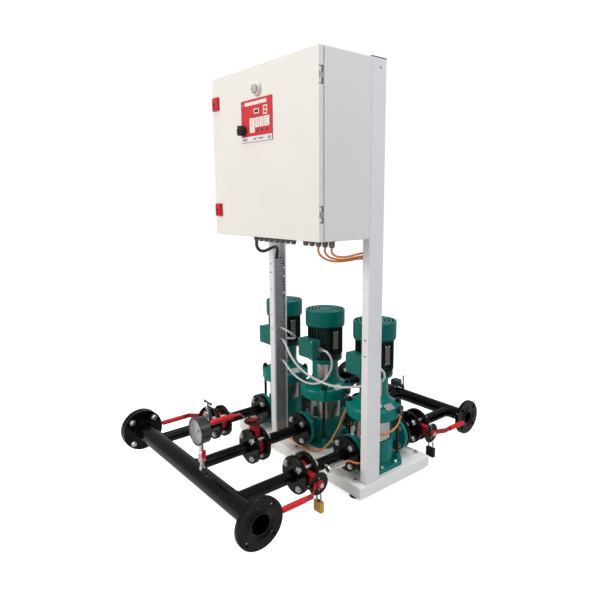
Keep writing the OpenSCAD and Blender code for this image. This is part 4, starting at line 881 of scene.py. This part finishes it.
def header(name, node, radius, y, way, left, right, stub_face, end):
    """A header pipe with its branches; end is its flanges' radius, circle and face."""
    bore, length, reach = radius - 2.9, right - left - 34, abs(stub_face - y) - 17
    pipe = dowel(radius, 0, length, (left + 17, y, AXIS), RIGHT, 64)
    fused(pipe, *[dowel(BRANCH_R, 0, reach, (x, y, AXIS), (0, way, 0), 48) for x in PUMPS])
    cut(pipe, dowel(bore, -2, length + 2, (left + 17, y, AXIS), RIGHT, 64))
    cut(pipe, *[dowel(BRANCH_BORE, 0, reach + 2, (x, y, AXIS), (0, way, 0), 48) for x in PUMPS])
    parts = [pipe, flange(*end, bore, (right, y, AXIS), (-1, 0, 0), True),
             flange(*end, bore, (left, y, AXIS), RIGHT)]
    parts += [weld(radius + 1, (x, y, AXIS), RIGHT, 76, 3) for x in (right - 18.5, left + 18.5)]
    for x in PUMPS:
        parts.append(flange(*BRANCH_END, BRANCH_BORE, (x, stub_face, AXIS), (0, -way, 0)))
        parts.append(weld(25, (x, stub_face - way * 18.5, AXIS), BACK, 56))
        saddle = [radians(6 * i) for i in range(60)]
        parts.append(rod([(x + 25 * cos(a), y + way * (sqrt(radius ** 2 - (25 * sin(a)) ** 2) + 0.8),
                           AXIS + 25 * sin(a)) for a in saddle], 3, True, 0.22))
    fitted(painted(smoothed(joined(*parts), 35), pipe_black), name, "frame", node)


header("discharge_pipework", "front_header", 38.05, HEADER_Y[0], 1, -481, 501, -427.5, FRONT_END)
header("suction_pipework", "rear_header", 30.15, HEADER_Y[1], -1, -417, 437, 286.5, REAR_END)

# Blind flanges of black painted steel close the headers' -X ends, each on a gasket of
# pressed fibre.
gasket_fibre = finish("gasket_fibre", (0.16, 0.19, 0.17), 0.85, cloud=(90, 0.2), grain=(1800, 0.5, 0.0003))
blinds = []
for left, y, (radius, circle, face) in zip(CLOSED_X, HEADER_Y, (FRONT_END, REAR_END)):
    disc = turned([(radius - 1, 0), (radius, 0.9), (radius, 17.1), (radius - 1, THICK)],
                  (left, y, AXIS), RIGHT, 96)
    blinds += [painted(drilled(disc, circle, (left, y, AXIS), RIGHT), pipe_black),
               painted(dowel(face, THICK, 20, (left, y, AXIS), RIGHT, 64), gasket_fibre)]
fitted(smoothed(joined(*blinds), 35), "blind_ends", "frame", "blind_flanges")

# Six pipe pieces join the pumps to the valves. Each has two welded flanges, and a fibre
# gasket at its pump.
spools = []
for way, far in ((-1, 394.5), (1, 253.5)):
    facing, back = (0, way, 0), (0, -way, 0)
    spool = joined(tube(BRANCH_BORE, BRANCH_R, 168, far - 16, (0, 0, AXIS), facing, 48),
                   flange(*BRANCH_END, BRANCH_BORE, (0, way * 152, AXIS), facing),
                   flange(*BRANCH_END, BRANCH_BORE, (0, way * far, AXIS), back),
                   *[weld(25, (0, way * y, AXIS), BACK, 56) for y in (170.5, far - 18.5)])
    gasket = painted(tube(BRANCH_BORE, 44, 150, 152, (0, 0, AXIS), facing, 64), gasket_fibre)
    spools.append(repeated(joined(painted(spool, pipe_black), gasket), PUMP_PLACES))
fitted(smoothed(joined(*spools), 35), "flanged_pipes", "frame", "port_spools")

# Zinc-plated M16 bolts hold every flange, and long studs pass by the valves from flange
# to flange. Their threads stand out past the nuts.


def flange_bolt(grip, stud):
    """A bolt from its head at z = 0, or a stud with a nut there, to the nut past the grip."""
    near_nut = hexagon(24, 13 if stud else 10, (0, 0, 0), DOWN)
    parts = [near_nut, hexagon(24, 13, (0, 0, grip)), dowel(8, -1, grip + 13, sides=16),
             turned(stud_end(8, 4, 2), (0, 0, grip + 13), sides=20)]
    if stud:
        parts.append(turned(stud_end(8, 4, 2), (0, 0, -13), DOWN, 20))
    return joined(*parts)


port_bolt, valve_stud = flange_bolt(38, False), flange_bolt(69, True)
bolts = []
for way, valve_at in ((-1, 376.5), (1, 235.5)):
    for x in PUMPS:
        for model, start in ((port_bolt, 132), (valve_stud, valve_at)):
            for i, place in enumerate(ring_at(BRANCH_END[1] / 2, (x, way * start, AXIS), BACK)):
                bolts.append(copied(model, place, along((0, way, 0), 0.9 * i + 0.003 * x + 0.01 * start)))
for left, y, (_, circle, _) in zip(CLOSED_X, HEADER_Y, (FRONT_END, REAR_END)):
    for i, place in enumerate(ring_at(circle / 2, (left, y, AXIS), RIGHT)):
        bolts.append(copied(port_bolt, place, along(RIGHT, 0.7 * i)))
scrap(port_bolt, valve_stud)
fitted(painted(smoothed(joined(*bolts), 30), zinc), "bolts_and_studs", "frame", "flange_bolts")

# Six butterfly valves. Each has a red cast body that hangs between two flanges, with a
# neck, a pad and a foot, and a black notch plate held on the pad by two sunk screws.
valve_red = finish("valve_red", (0.36, 0.010, 0.016), 0.36, coat=0.1, spec=0.35, cloud=(20, 0.12),
                   grain=(160, 0.35, 0.0006), patch=(25, 0.1))
plate_black = finish("plate_black", (0.010, 0.010, 0.012), 0.45, spec=0.2, cloud=(30, 0.3),
                     grain=(700, 0.3, 0.0003))
VALVE_Y, STEM_R = (-411, 270), 6
TURNS = [Matrix.Rotation(radians(a), 4, "Y") for a in (-90, 0, 90)]
VALVES = [((x, y, AXIS), turn) for y in VALVE_Y for x, turn in zip(PUMPS, TURNS)]


def cast(piece, grain=1.6, passes=5, keep=0.25):
    """Rounds a solid's corners and roots as a sand casting has them."""
    applied(piece, "REMESH", mode="VOXEL", voxel_size=grain * MM)
    applied(piece, "SMOOTH", factor=0.5, iterations=passes)
    return applied(piece, "DECIMATE", ratio=keep)


body = joined(dowel(45, -16.5, 16.5, facing=BACK, sides=64), block((-24, -13, 36), (24, 13, 100)),
              dowel(29, 98, 108, sides=48), block((-14, -16.5, -56), (14, 16.5, -36)),
              dowel(17, 30, 100, sides=32), block((-20, -16.2, 36), (20, 16.2, 52)))
cast(body)
cut(body, dowel(20.05, -18, 18, facing=BACK, sides=48))
cut(body, dowel(STEM_R + 0.05, -34, 120))
plate = turned([(44.4, 108), (45, 108.5), (45, 111.5), (44.4, 112)], sides=72)
cut(plate, *[dowel(4.5, 100, 120, (x, 0, 0)) for x in (-37, 37)],
    *[dowel(3.5, 100, 120, (45 * cos(radians(a)), 45 * sin(radians(a)), 0), sides=20)
      for a in range(110, 251, 20)], dowel(7, 100, 120, sides=32))
body = joined(painted(body, valve_red), painted(plate, plate_black),
              *[screw(x, 0, 111.1, 3.2, UP) for x in (-22, 22)])
bodies = [copied(body, place, turn) for place, turn in VALVES]
scrap(body)
fitted(smoothed(joined(*bodies), 40), "valve_castings", "frame", "valve_bodies")

# In each valve a turned steel disc sits on a stem. The stem comes out through the notch
# plate and carries the lever.
disc_steel = finish("disc_steel", (0.50, 0.51, 0.52), 0.28, metal=1.0, cloud=(60, 0.1),
                    grain=(700, 0.2, 0.0002), stretch=(1, 0.1, 1), patch=(40, 0.1))
flap = joined(turned([(18.8, -1.3), (19.85, -0.6), (19.85, 0.6), (18.8, 1.3)], facing=RIGHT, sides=64),
              turned([(14, -2.5), (16, -1), (16, 1), (14, 2.5)], facing=RIGHT, sides=48),
              turned([(5.4, -33), (STEM_R, -32.2), (STEM_R, 125.5), (5.2, 127)], sides=32))
smoothed(painted(flap, disc_steel), 35)
for i, (place, turn) in enumerate(VALVES):
    fitted(copied(flap, place, turn), f"valve_flap_{i + 1}", f"valve_{i + 1}",
           f"valve_disc_{i + 1}")
scrap(flap)

# The levers are cranked red steel bars on round hubs, with bright red sleeves that are
# pushed on, and a nut on the stem. Front levers point to -Y and rear ones to +Y.
grip_red = finish("grip_red", (0.70, 0.012, 0.016), 0.32, coat=0.1, spec=0.25, cloud=(25, 0.08),
                  grain=(900, 0.15, 0.0002))


def lever(rise, way):
    """A lever whose bar rises by a step in millimetres, and points to -Y or to +Y."""
    bar = block((-11, 0, 113), (11, 8, 118))
    pick(bar, "FACE", lambda f: f.normal.y < -0.9)
    for step in ((0, -26, 0), (0, -44, rise), (0, -136, 0)):
        drawn(*step)
    close()
    bar = fused(eased(bar, 1.2, 2), turned([(15.2, 112.6), (16, 113.4), (16, 124), (15, 125)], sides=48))
    cut(bar, dowel(STEM_R + 0.05, 110, 130))
    sleeve = turned([(9.4, 0), (11, 1.2), (11, 3), (10.4, 4), (10.4, 10), (10.9, 12), (10.9, 98), (10.2, 104),
                     (8, 106.4), (4, 107)], (0, -105, 113 + rise + 2.5), FRONT, 40)
    nut = joined(hexagon(17, 6, (0, 0, 125)), turned(stud_end(5.6, 1.6, 0.8), (0, 0, 130.4), sides=20))
    arm = joined(painted(bar, valve_red), painted(sleeve, grip_red), painted(nut, zinc))
    if way > 0:
        arm.data.transform(Matrix.Rotation(pi, 4, "Z"))
    return smoothed(arm, 40)


for model, group in ((lever(45, -1), range(3)), (lever(20, 1), range(3, 6))):
    for i in group:
        fitted(copied(model, *VALVES[i]), f"valve_handle_{i + 1}", f"valve_{i + 1}",
               f"valve_lever_{i + 1}")
    scrap(model)

# Two padlocks hang in ears of the notch plates, brass in front and black at the back.
# Each has a bent steel shackle, and a keyhole in its foot.
brass = finish("brass", (0.66, 0.40, 0.10), 0.26, metal=1.0, cloud=(60, 0.1), grain=(900, 0.25, 0.0002),
               stretch=(1, 1, 0.06), patch=(50, 0.1))
shackle_steel = finish("shackle_steel", (0.36, 0.36, 0.38), 0.22, metal=1.0, cloud=(60, 0.15),
                       grain=(900, 0.1, 0.0002))
PADLOCK_X, SHACKLE_REACH = 430, 12
locks = []
for y, paint in zip(VALVE_Y, (brass, plate_black)):
    body = block((PADLOCK_X - 21, y - 9, 40), (PADLOCK_X + 21, y + 9, 84), 2.4, 4)
    cut(body, *[block((PADLOCK_X - 23, y + side - 0.4, 58), (PADLOCK_X + 23, y + side + 0.4, 59))
                for side in (-9, 9)])
    arc = [(PADLOCK_X + SHACKLE_REACH * cos(radians(a)), y, 104 + SHACKLE_REACH * sin(radians(a)))
           for a in range(0, 181, 15)]
    shackle = rod([(PADLOCK_X + SHACKLE_REACH, y, 82)] + arc + [(PADLOCK_X - SHACKLE_REACH, y, 82)], 3.4)
    plug = turned([(5.5, 0), (6, 0.6), (6, 3)], (PADLOCK_X, y, 40), sides=32)
    locks += [painted(body, paint), painted(shackle, shackle_steel), painted(plug, shackle_steel),
              slab(plate_black, (429.4, y - 3.5, 39.9), (430.6, y + 3.5, 42))]
fitted(smoothed(joined(*locks), 40), "hanging_locks", "frame", "padlocks")

# The three pumps stand on green painted castings: a flat foot, a bowl, two port nozzles
# with machined flanges, and four lugs that the tie rods screw into.
# The castings' green is painted lighter along their convex edges, as a painted highlight.
pump_green = finish("pump_green", (0.0005, 0.17, 0.145), 0.25, coat=0.08, spec=0.14, cloud=(7, 0.10),
                    grain=(170, 0.35, 0.0006), patch=(18, 0.08), edge=0.25)
TIE_PLACES = [(x, y, 0) for x in (-75, 75) for y in (-75, 75)]
casing = block((-106, -106, 63), (106, 106, 83))
pick(casing, "EDGE", lambda e: (e.verts[0].co.xy - e.verts[1].co.xy).length < 1e-5)
bpy.ops.mesh.bevel(offset=34 * MM, segments=1)
close()
casing = joined(casing, turned([(88, 80), (88, 186), (86, 190)], sides=96),
                *[dowel(33.15, 20, 147, (0, 0, AXIS), facing, 64) for facing in (FRONT, BACK)],
                *[dowel(15, 80, 107, place, sides=40) for place in TIE_PLACES])
cast(casing, 2.0, 4, 0.22)
cut(casing, dowel(76, 98, 200, sides=64),
    *[dowel(BRANCH_BORE, 58, 152, (0, 0, AXIS), facing, 48) for facing in (FRONT, BACK)])
casing = joined(casing, turned([(87, 185), (87.6, 186), (87.6, 189.4), (87, 190), (80.2, 190), (80.2, 185)],
                               sides=96, ring=True),
                *[flange(*BRANCH_END, BRANCH_BORE, (0, 150 * way, AXIS), (0, -way, 0)) for way in (-1, 1)])
casing = painted(smoothed(repeated(casing, PUMP_PLACES), 40), pump_green)
fitted(casing, "casing_castings", "frame", "pump_casings")

# Each barrel is a turned and brushed stainless sleeve with three stages in it, sealed
# in a groove at each end. Stage plates stand inside.
barrel_steel = finish("barrel_steel", (0.44, 0.42, 0.40), 0.22, metal=1.0, cloud=(18, 0.10),
                      grain=(1500, 0.5, 0.0003), stretch=(0.02, 0.02, 1), patch=(12, 0.08))
BARREL_FOOT, STAGE = 190, 32.333
barrel = turned([(77, 190), (79.4, 190), (80, 190.6), (80, 196), (79.5, 196.6), (79.5, 198), (80, 198.6),
                 (80, 278.4), (79.5, 279), (79.5, 280.4), (80, 281), (80, 287), (77, 287)],
                sides=128, ring=True)
tops = [BARREL_FOOT + STAGE * i - 3 for i in (1, 2, 3)]
barrel = joined(barrel, *[tube(14, 77.2, top - 8, top, sides=64) for top in tops])
barrels = painted(smoothed(repeated(barrel, PUMP_PLACES), 35), barrel_steel)
fitted(barrels, "stage_sleeves", "frame", "pump_barrels")

# The heads are green castings with a sloped deck, four rod lugs and a lantern that
# carries the motor. Bent stainless guards cover its two windows.
plug_nickel = finish("plug_nickel", (0.78, 0.76, 0.72), 0.16, metal=1.0, cloud=(80, 0.06),
                     grain=(900, 0.12, 0.0002))
VENT_PLUG = (78, -46)
TO_WINDOWS = Matrix.Rotation(radians(-45), 4, "Z")


def radial_screw(radius, degree, z, size):
    """A screw on a round wall, facing outwards."""
    x, y = cos(radians(degree)), sin(radians(degree))
    return screw(radius * x, radius * y, z, size, (x, y, 0))


head = joined(turned([(110, 287), (116, 293), (116, 329), (111, 337), (78, 357), (67, 374), (62, 386),
                      (62, 459), (79, 465), (79, 474)], sides=128),
              dowel(14, 330, 354, (*VENT_PLUG, 0), sides=32),
              *[dowel(15, 288, 345, place, sides=40) for place in TIE_PLACES])
cast(head, 1.7, 3, 0.18)
window = block((-75, -27, 390), (75, 27, 445), 5, 3)
window.data.transform(TO_WINDOWS)
cut(head, window)
cut(head, dowel(70, 280, 327, sides=64), dowel(9.05, 320, 365), dowel(53, 359, 461, sides=64),
    dowel(30, 455, 480, sides=48))
cut(head, *[dowel(15, 345, 390, place, sides=40) for place in TIE_PLACES])
rims = [turned(profile, sides=96, ring=True)
        for profile in ([(30, 466), (79.2, 466), (80, 466.8), (80, 474.3), (79.4, 475), (30, 475)],
                        [(80, 287), (109.6, 287), (110.4, 287.6), (110.4, 290), (80, 290)])]
guard = tube(62.1, 63.2, 387, 452, sides=120)
band = block((-80, -32, 380), (80, 32, 460))
band.data.transform(TO_WINDOWS)
applied(guard, "BOOLEAN", operation="INTERSECT", object=band, solver="EXACT")
scrap(band)
guard_screws = [radial_screw(62.8, degree, z, 3) for degree in (-71, -19, 109, 161) for z in (394, 445)]
vent_plug = joined(hexagon(19, 7, (*VENT_PLUG, 355)),
                   turned([(8, 361), (7.6, 366), (5, 368)], (*VENT_PLUG, 0), sides=28),
                   turned([(11.6, 353), (12, 353.4), (12, 355)], (*VENT_PLUG, 0), sides=28))
data_plate = block((-16, -22, -0.8), (16, 22, 0.8), 0.3)
data_plate.data.transform(Matrix.Rotation(radians(-3), 4, "Z") @ Matrix.Translation((0.0955, 0, 0.3469))
                          @ Matrix.Rotation(radians(31.2), 4, "Y"))
head = joined(painted(head, pump_green), *[painted(rim, pump_green) for rim in rims],
              painted(guard, barrel_steel), *guard_screws,
              painted(vent_plug, plug_nickel), painted(data_plate, plug_nickel))
fitted(smoothed(repeated(head, PUMP_PLACES), 38), "lantern_castings", "frame", "pump_heads")

# Four black tie rods pull each head down on its barrel, with a washer and a nut on the
# thread above every lug.
rod_black = finish("rod_black", (0.010, 0.010, 0.011), 0.34, spec=0.25, cloud=(70, 0.3),
                   grain=(900, 0.25, 0.0003))
tie = joined(turned([(6.4, 75), (7, 76), (7, 346)], sides=28),
             turned(stud_end(7, 6), (0, 0, 357), sides=24),
             turned([(13.2, 345), (14, 345.5), (14, 347), (13.2, 347.5)], sides=36),
             hexagon(22, 9.5, (0, 0, 347.5)))
ties = [copied(tie, (x + side_x, side_y, 0), Matrix.Rotation(0.4 + x + side_x + side_y, 4, "Z"))
        for x in PUMPS for side_x, side_y, _ in TIE_PLACES]
scrap(tie)
fitted(painted(smoothed(joined(*ties), 30), rod_black), "tie_rods_and_nuts", "frame", "tie_rods")

# Motor frames are cast in one with thirty cooling fins and painted nearly black. Inside
# is a laminated stator; a blank metal rating plate is riveted to the side.
motor_paint = finish("motor_paint", (0.002, 0.017, 0.015), 0.33, coat=0.04, spec=0.16, cloud=(14, 0.2),
                     grain=(260, 0.35, 0.0005), patch=(25, 0.09))
stator_steel = finish("stator_steel", (0.30, 0.29, 0.28), 0.5, metal=0.8, cloud=(60, 0.1),
                      grain=(1800, 0.6, 0.0003), stretch=(0.05, 0.05, 1))
plate_dull = finish("plate_dull", (0.13, 0.12, 0.10), 0.46, metal=0.4, spec=0.3, cloud=(70, 0.12),
                    grain=(1400, 0.2, 0.0002))
FINS, BEARING = 30, 12.05
shell = turned([(BEARING, 475), (78.6, 475), (80, 476.4), (80, 486), (79, 487), (77, 488.4), (77, 627),
                (84, 628.6), (89.6, 628.6), (90.5, 629.6), (90.5, 639.4), (89.8, 640), (BEARING, 640),
                (BEARING, 628), (66, 628), (66, 487), (BEARING, 487)], sides=120, ring=True)
fin = block((75.5, -1.5, 494), (83, 1.5, 629))
pick(fin, "FACE", lambda f: f.normal.x > 0.9)
bpy.ops.transform.resize(value=(1, 0.62, 0.985))
close()
eased(fin, 0.45, 2)
fins = [copied(fin, turn=Matrix.Rotation(2 * pi / FINS * (i + 0.5), 4, "Z")) for i in range(FINS)]
scrap(fin)
body = painted(joined(shell, *fins, block((-45.5, -88, 497.5), (45.5, -70, 573.5), 2)), motor_paint)
rivets = [painted(turned([(1.9, 83.4), (1.9, 84), (1.1, 84.6)], (0, y, z), RIGHT, 14), plug_nickel)
          for y in (-19, 3) for z in (532, 608)]
body = smoothed(joined(body, painted(tube(45, 66, 507, 608, sides=72), stator_steel),
                       slab(plate_dull, (81.6, -22, 529), (83.6, 6, 611), 0.5), *rivets), 35)
for i, place in enumerate(PUMP_PLACES):
    fitted(copied(body, place), f"motor_frame_{i + 1}", "frame", f"motor_{i + 1}")
scrap(body)

# The fan cowls are deep-drawn sheet, painted green, with four rings of air slots in the
# top and a soft rim. Four small screws hold each to the motor's rear shield.
# The cowls' and terminal boxes' green is painted lighter along convex edges, as a painted highlight.
cowl_green = finish("cowl_green", (0.0005, 0.112, 0.096), 0.26, coat=0.05, spec=0.11, cloud=(5, 0.06),
                    grain=(600, 0.2, 0.0003), patch=(14, 0.07), edge=0.25)
SLOT_RING, BRIDGE = 8, 6


def is_slot(face):
    """Whether a face of the cowl's top lies in a ring of slots, clear of the four bridges."""
    middle = face.calc_center_median()
    clear = BRIDGE < degrees(atan2(middle.y, middle.x)) % 90 < 90 - BRIDGE
    reach = middle.xy.length / MM
    return face.normal.z > 0.9 and clear and any(r < reach < r + SLOT_RING for r in (26, 42, 58, 74))


cowl = turned([(14, 707)] + [(r, 707) for r in range(26, 83, SLOT_RING)]
              + [(88.4, 707), (90.2, 706.6), (91.6, 705.5), (92.3, 704), (92.5, 702), (92.5, 640),
                 (92.2, 638), (92.2, 636)], sides=120)
without(cowl, is_slot)
without(cowl, lambda f: f.calc_center_median().z < 0.6365)
applied(cowl, "SOLIDIFY", thickness=2 * MM, offset=-1, use_even_offset=True)
cowl = joined(painted(cowl, cowl_green),
              *[painted(radial_screw(92.2, degree, 645, 3), cowl_green) for degree in (20, 110, 200, 290)])
fitted(smoothed(repeated(cowl, PUMP_PLACES), 32), "fan_covers", "frame", "fan_cowls")

# A cast terminal box sits on each motor's front pad, with a raised lid, four lid screws
# and a plastic gland on its +X side for the motor cable.
MOTOR_GLAND = (0, -80, 533)
box = cut(block((-50, -117, 493), (50, -70, 578), 4, 3), dowel(83.3, 480, 590, sides=120))
box = joined(painted(box, cowl_green), slab(cowl_green, (-52, -122.6, 491), (52, -116.4, 580), 2.4, 3),
             slab(cowl_green, (-41, -124, 500), (41, -121.6, 571), 1.2),
             *[screw(x, -122.4, z, 3.4) for x in (-46, 46) for z in (497, 574)],
             painted(hexagon(24, 7, (49, *MOTOR_GLAND[1:]), RIGHT), gland_grey),
             painted(turned([(5.1, 55), (10.4, 55), (11.4, 56.4), (11.4, 67), (10.2, 70), (8.8, 76),
                             (7.6, 77), (5.1, 77)], MOTOR_GLAND, RIGHT, 14, ring=True), gland_grey))
fitted(smoothed(repeated(box, PUMP_PLACES), 35), "connection_boxes", "frame", "terminal_boxes")

# Each rotor is the motor shaft with its laminated core and fan, joined by a clamped
# coupling in the lantern to the pump shaft with three impellers.
shaft_steel = finish("shaft_steel", (0.62, 0.62, 0.61), 0.2, metal=1.0, cloud=(50, 0.06),
                     grain=(1400, 0.3, 0.0002), stretch=(0.03, 0.03, 1))
fan_black = finish("fan_black", (0.02, 0.02, 0.021), 0.5, cloud=(40, 0.2), grain=(1200, 0.3, 0.0002))
coupling = turned([(9, 400), (21, 400), (22, 401), (22, 428), (21, 429), (21, 430), (22, 431), (22, 458),
                   (21, 459), (12, 459)], sides=48)
clamps = [dowel(3.4, 14.5, 17.5, (0, 16 * side, z), RIGHT, 16) for side in (-1, 1) for z in (412, 447)]
parts = [painted(turned([(8, 99), (9, 100), (9, 421), (8, 422)], sides=32), shaft_steel),
         painted(turned([(11, 455), (12, 456), (12, 677), (11, 678)], sides=36), shaft_steel),
         painted(coupling, stator_steel), painted(joined(*clamps), zinc),
         painted(turned([(20, 503), (44, 505), (44.5, 506), (44.5, 609), (44, 610), (20, 612)], sides=72),
                 stator_steel)]
for i in range(3):
    z = BARREL_FOOT + 7 + STAGE * i
    impeller = turned([(30, z), (57, z), (58, z + 0.8), (58, z + 2.4), (57, z + 3), (20, z + 3), (20, z + 8),
                       (57, z + 8), (58, z + 8.6), (58, z + 10.2), (57, z + 11), (14, z + 11)], sides=72)
    parts.append(painted(impeller, shaft_steel))
blade = block((12, -1.5, 650), (70, 1.5, 680), 0.7)
blades = [copied(blade, turn=Matrix.Rotation(radians(60 * i), 4, "Z")) for i in range(6)]
hub = turned([(17, 648), (18, 649), (18, 681), (16.5, 682)], sides=40)
scrap(blade)
parts.append(painted(joined(hub, *blades), fan_black))
rotor = smoothed(joined(*parts), 35)
for i, place in enumerate(PUMP_PLACES):
    fitted(copied(rotor, place), f"shaft_and_fan_{i + 1}", f"rotor_{i + 1}", f"rotor_{i + 1}")
scrap(rotor)

# The pressure gauge on the discharge header: a black case with a pressed ring, a dial
# with a ring of ticks, a clear lens and a nickel stem. The dial's pale face is painted
# a darker grey, as painted shade.
case_black = finish("case_black", (0.012, 0.012, 0.013), 0.3, coat=0.3, cloud=(40, 0.3),
                    grain=(900, 0.2, 0.0002))
# The dial's colour is darkened to stand for the shade it sits in: painted shade.
dial_shaded = finish("dial_shaded", (0.30, 0.30, 0.33), 0.45, cloud=(30, 0.02), grain=(1200, 0.1, 0.0001))
nickel = finish("nickel", (0.60, 0.58, 0.55), 0.2, metal=1.0, cloud=(90, 0.10), grain=(900, 0.2, 0.0002))
lens_clear = finish("lens_clear", (0.95, 0.96, 0.97), 0.05, cloud=(20, 0.01), grain=(300, 0.02, 0.0001),
                    patch=(20, 0.02))
lens_clear.node_tree.nodes["Principled BSDF"].inputs["Alpha"].default_value = 0.14
GAUGE, GAUGE_STEM = (105, 0, 348), (105, HEADER_Y[0], 0)
FIRST_TICK, TICK_STEP, TICKS, DIAL_R = 225, 5.4, 51, 42
case = turned([(47, 727), (20, 727), (20, 704.8), (49, 704), (50, 705), (50, 739.6), (54.4, 740), (55, 740.8),
               (55, 745.6), (53.6, 747.4), (51, 748), (48.6, 747.4), (47, 745.8)],
              GAUGE, FRONT, 96, ring=True)
case = joined(case, dowel(20.5, 704.8, 727, GAUGE, FRONT, 48))
ticks = []
for i in range(TICKS):
    half, reach = (0.45, 8) if i % 5 == 0 else (0.25, 4.5)
    tick = block((-half, -729.2, DIAL_R - reach), (half, -728.9, DIAL_R))
    tick.data.transform(Matrix.Translation(Vector(GAUGE) * MM)
                        @ Matrix.Rotation(radians(FIRST_TICK + TICK_STEP * i), 4, "Y"))
    ticks.append(tick)
stem = joined(turned([(7.6, 262), (8, 263), (8, 302)], GAUGE_STEM, sides=36),
              hexagon(20, 12, (*GAUGE_STEM[:2], 251.05)))
dial = tube(3, 46.9, 727.2, 729, GAUGE, FRONT, 72)
lens = dowel(46.9, 743, 746, GAUGE, FRONT, 72)
gauge = joined(painted(case, case_black), painted(dial, dial_shaded), painted(joined(*ticks), case_black),
               painted(lens, lens_clear), painted(stem, nickel))
fitted(smoothed(gauge, 35), "gauge_case_and_dial", "frame", "pressure_gauge")

# A thin black needle turns in front of the dial on its own pivot. It is cut from sheet
# and narrows to its point.
needle_black = finish("needle_black", (0.02, 0.02, 0.02), 0.4, cloud=(90, 0.2), grain=(1500, 0.2, 0.0002))
pointer = block((-2.2, -14, 1), (2.2, 38, 2.2))
pick(pointer, "FACE", lambda f: f.normal.y > 0.9)
bpy.ops.transform.resize(value=(0.27, 1, 1))
close()
pointer = joined(pointer, turned([(2.7, -6.5), (2.9, -6.2), (2.9, 4), (2.2, 4.4)], sides=28),
                 turned([(5.4, 0.4), (5.4, 2.6), (4.8, 3)], sides=36))
pointer.data.transform(Matrix.Translation((GAUGE[0] * MM, -0.734, GAUGE[2] * MM))
                       @ Matrix.Rotation(radians(FIRST_TICK), 4, "Y") @ Matrix.Rotation(pi / 2, 4, "X"))
fitted(painted(smoothed(pointer, 35), needle_black), "needle", "gauge_needle", "gauge_needle")

# Small nickel cocks: one under the gauge, one on the first branch as a vent. The
# transmitter on the third branch and the dark switches are screwed into sockets.
switch_slate = finish("switch_slate", (0.012, 0.018, 0.032), 0.36, coat=0.15, cloud=(30, 0.2),
                      grain=(1100, 0.25, 0.0002))
COCK_AXIS, VENT, SENDER = (0, HEADER_Y[0], 237.05), (-320, -461.5, 0), (372.15, 0, AXIS)
cock = [turned([(12, 188.9), (12, 198.4), (11.4, 199)], GAUGE_STEM, sides=36),
        dowel(8, 197, 251.05, GAUGE_STEM, sides=36), hexagon(26, 26, (*GAUGE_STEM[:2], 223.05)),
        turned([(3.05, 110), (5.4, 110), (6, 111), (6, 121), (5.4, 122), (3.05, 122)],
               COCK_AXIS, RIGHT, 28, ring=True)]
vent = [turned([(10, 174.2), (10, 192.6), (9.4, 193.2)], VENT, sides=32),
        hexagon(24, 24, (*VENT[:2], 191.15)),
        turned([(4.1, 213), (8, 213), (8, 230.4), (7.4, 231.15), (4.1, 231.15)], VENT, sides=32, ring=True)]
sender = [turned([(11, 341.3), (11, 383.4), (10.4, 384.15)], (0, -302.5, AXIS), RIGHT, 36),
          hexagon(27, 30, (SENDER[0], -285.5, AXIS), FRONT),
          turned([(14.4, 230.6), (15, 231.4), (15, 284), (14.2, 285), (14.2, 287), (15, 288), (15, 292.5)],
                 SENDER, FRONT, 48),
          turned([(4.3, 224), (8.2, 224), (9, 225), (9, 231.5), (4.3, 231.5)], SENDER, FRONT, 36, ring=True)]
fittings = [painted(part, nickel) for part in (*cock, *vent, *sender)]
fittings.append(painted(weld(11.6, (345.4, -302.5, AXIS), RIGHT, 40, 1.6), pipe_black))
for x in PUMPS[1:]:
    body = joined(block((x + 118, 19, 318), (x + 136, 41, 348), 1.6, 3),
                  block((x + 118.6, 19.6, 347), (x + 135.4, 40.4, 352), 1.6, 3))
    tail = turned([(4.2, 0), (5.6, 0), (6.2, 0.8), (6.2, 4), (4.2, 4)], (x + 127, 30, 314.6),
                  sides=20, ring=True)
    fittings += [painted(dowel(7, 106, 118.5, (x, 30, 314), RIGHT, 28), nickel),
                 painted(joined(body, tail), switch_slate),
                 *[screw(x + 135.4, y, 335, 1.8, RIGHT) for y in (24, 36)]]
rear_case = joined(block((-52, 531, 193.15), (-4, 571, 219), 3, 3),
                   block((-51, 532, 218), (-5, 570, 227.15), 2.4, 3),
                   block((-6, 538, 193.15), (20, 564, 205.15), 1.6, 3),
                   turned([(8, 181), (8, 196.4), (7.4, 197.15)], (22, HEADER_Y[1], 0), sides=28),
                   turned([(4, 190), (4, 260), (3, 261.15)], (22, HEADER_Y[1], 0), sides=24))
fittings += [painted(dowel(10, 181, 194, (-28, HEADER_Y[1], 0), sides=32), nickel),
             painted(rear_case, switch_slate),
             *[screw(x, y, 226.4, 2, UP) for x in (-47, -9) for y in (536, 566)]]
fitted(smoothed(joined(*fittings), 35), "cocks_and_senders", "frame", "instruments")

# Two small handles turn the cocks: a red lever at the gauge and a dark T bar on the
# vent, each on its own spindle.
spindle = joined(turned([(2.7, 111), (3, 111.4), (3, 130.6), (2.6, 131)], COCK_AXIS, RIGHT, 24),
                 turned([(5, 127), (4.6, 129.6)], COCK_AXIS, RIGHT, 6))
cock_lever = joined(slab(grip_red, (124, -731, 230.05), (127, -717, 275.05), 1.2, 3), painted(spindle, zinc))
fitted(smoothed(cock_lever, 35), "cock_lever", "gauge_cock", "gauge_cock")
vent_dark = finish("vent_dark", (0.20, 0.20, 0.21), 0.3, metal=1.0, cloud=(70, 0.15),
                   grain=(900, 0.25, 0.0003))
tee = joined(turned([(3.6, 217.15), (4, 218), (4, 262)], VENT, sides=28),
             block((-350, -467.3, 261.15), (-290, -455.7, 266.15), 1.8, 3),
             *[turned([(5, 258.15), (6, 259.4), (6, 268), (5, 269.15)], (x, *VENT[1:]), sides=32)
               for x in (-348, -292)])
fitted(painted(smoothed(tee, 35), vent_dark), "vent_tee", "vent_handle", "vent_handle")
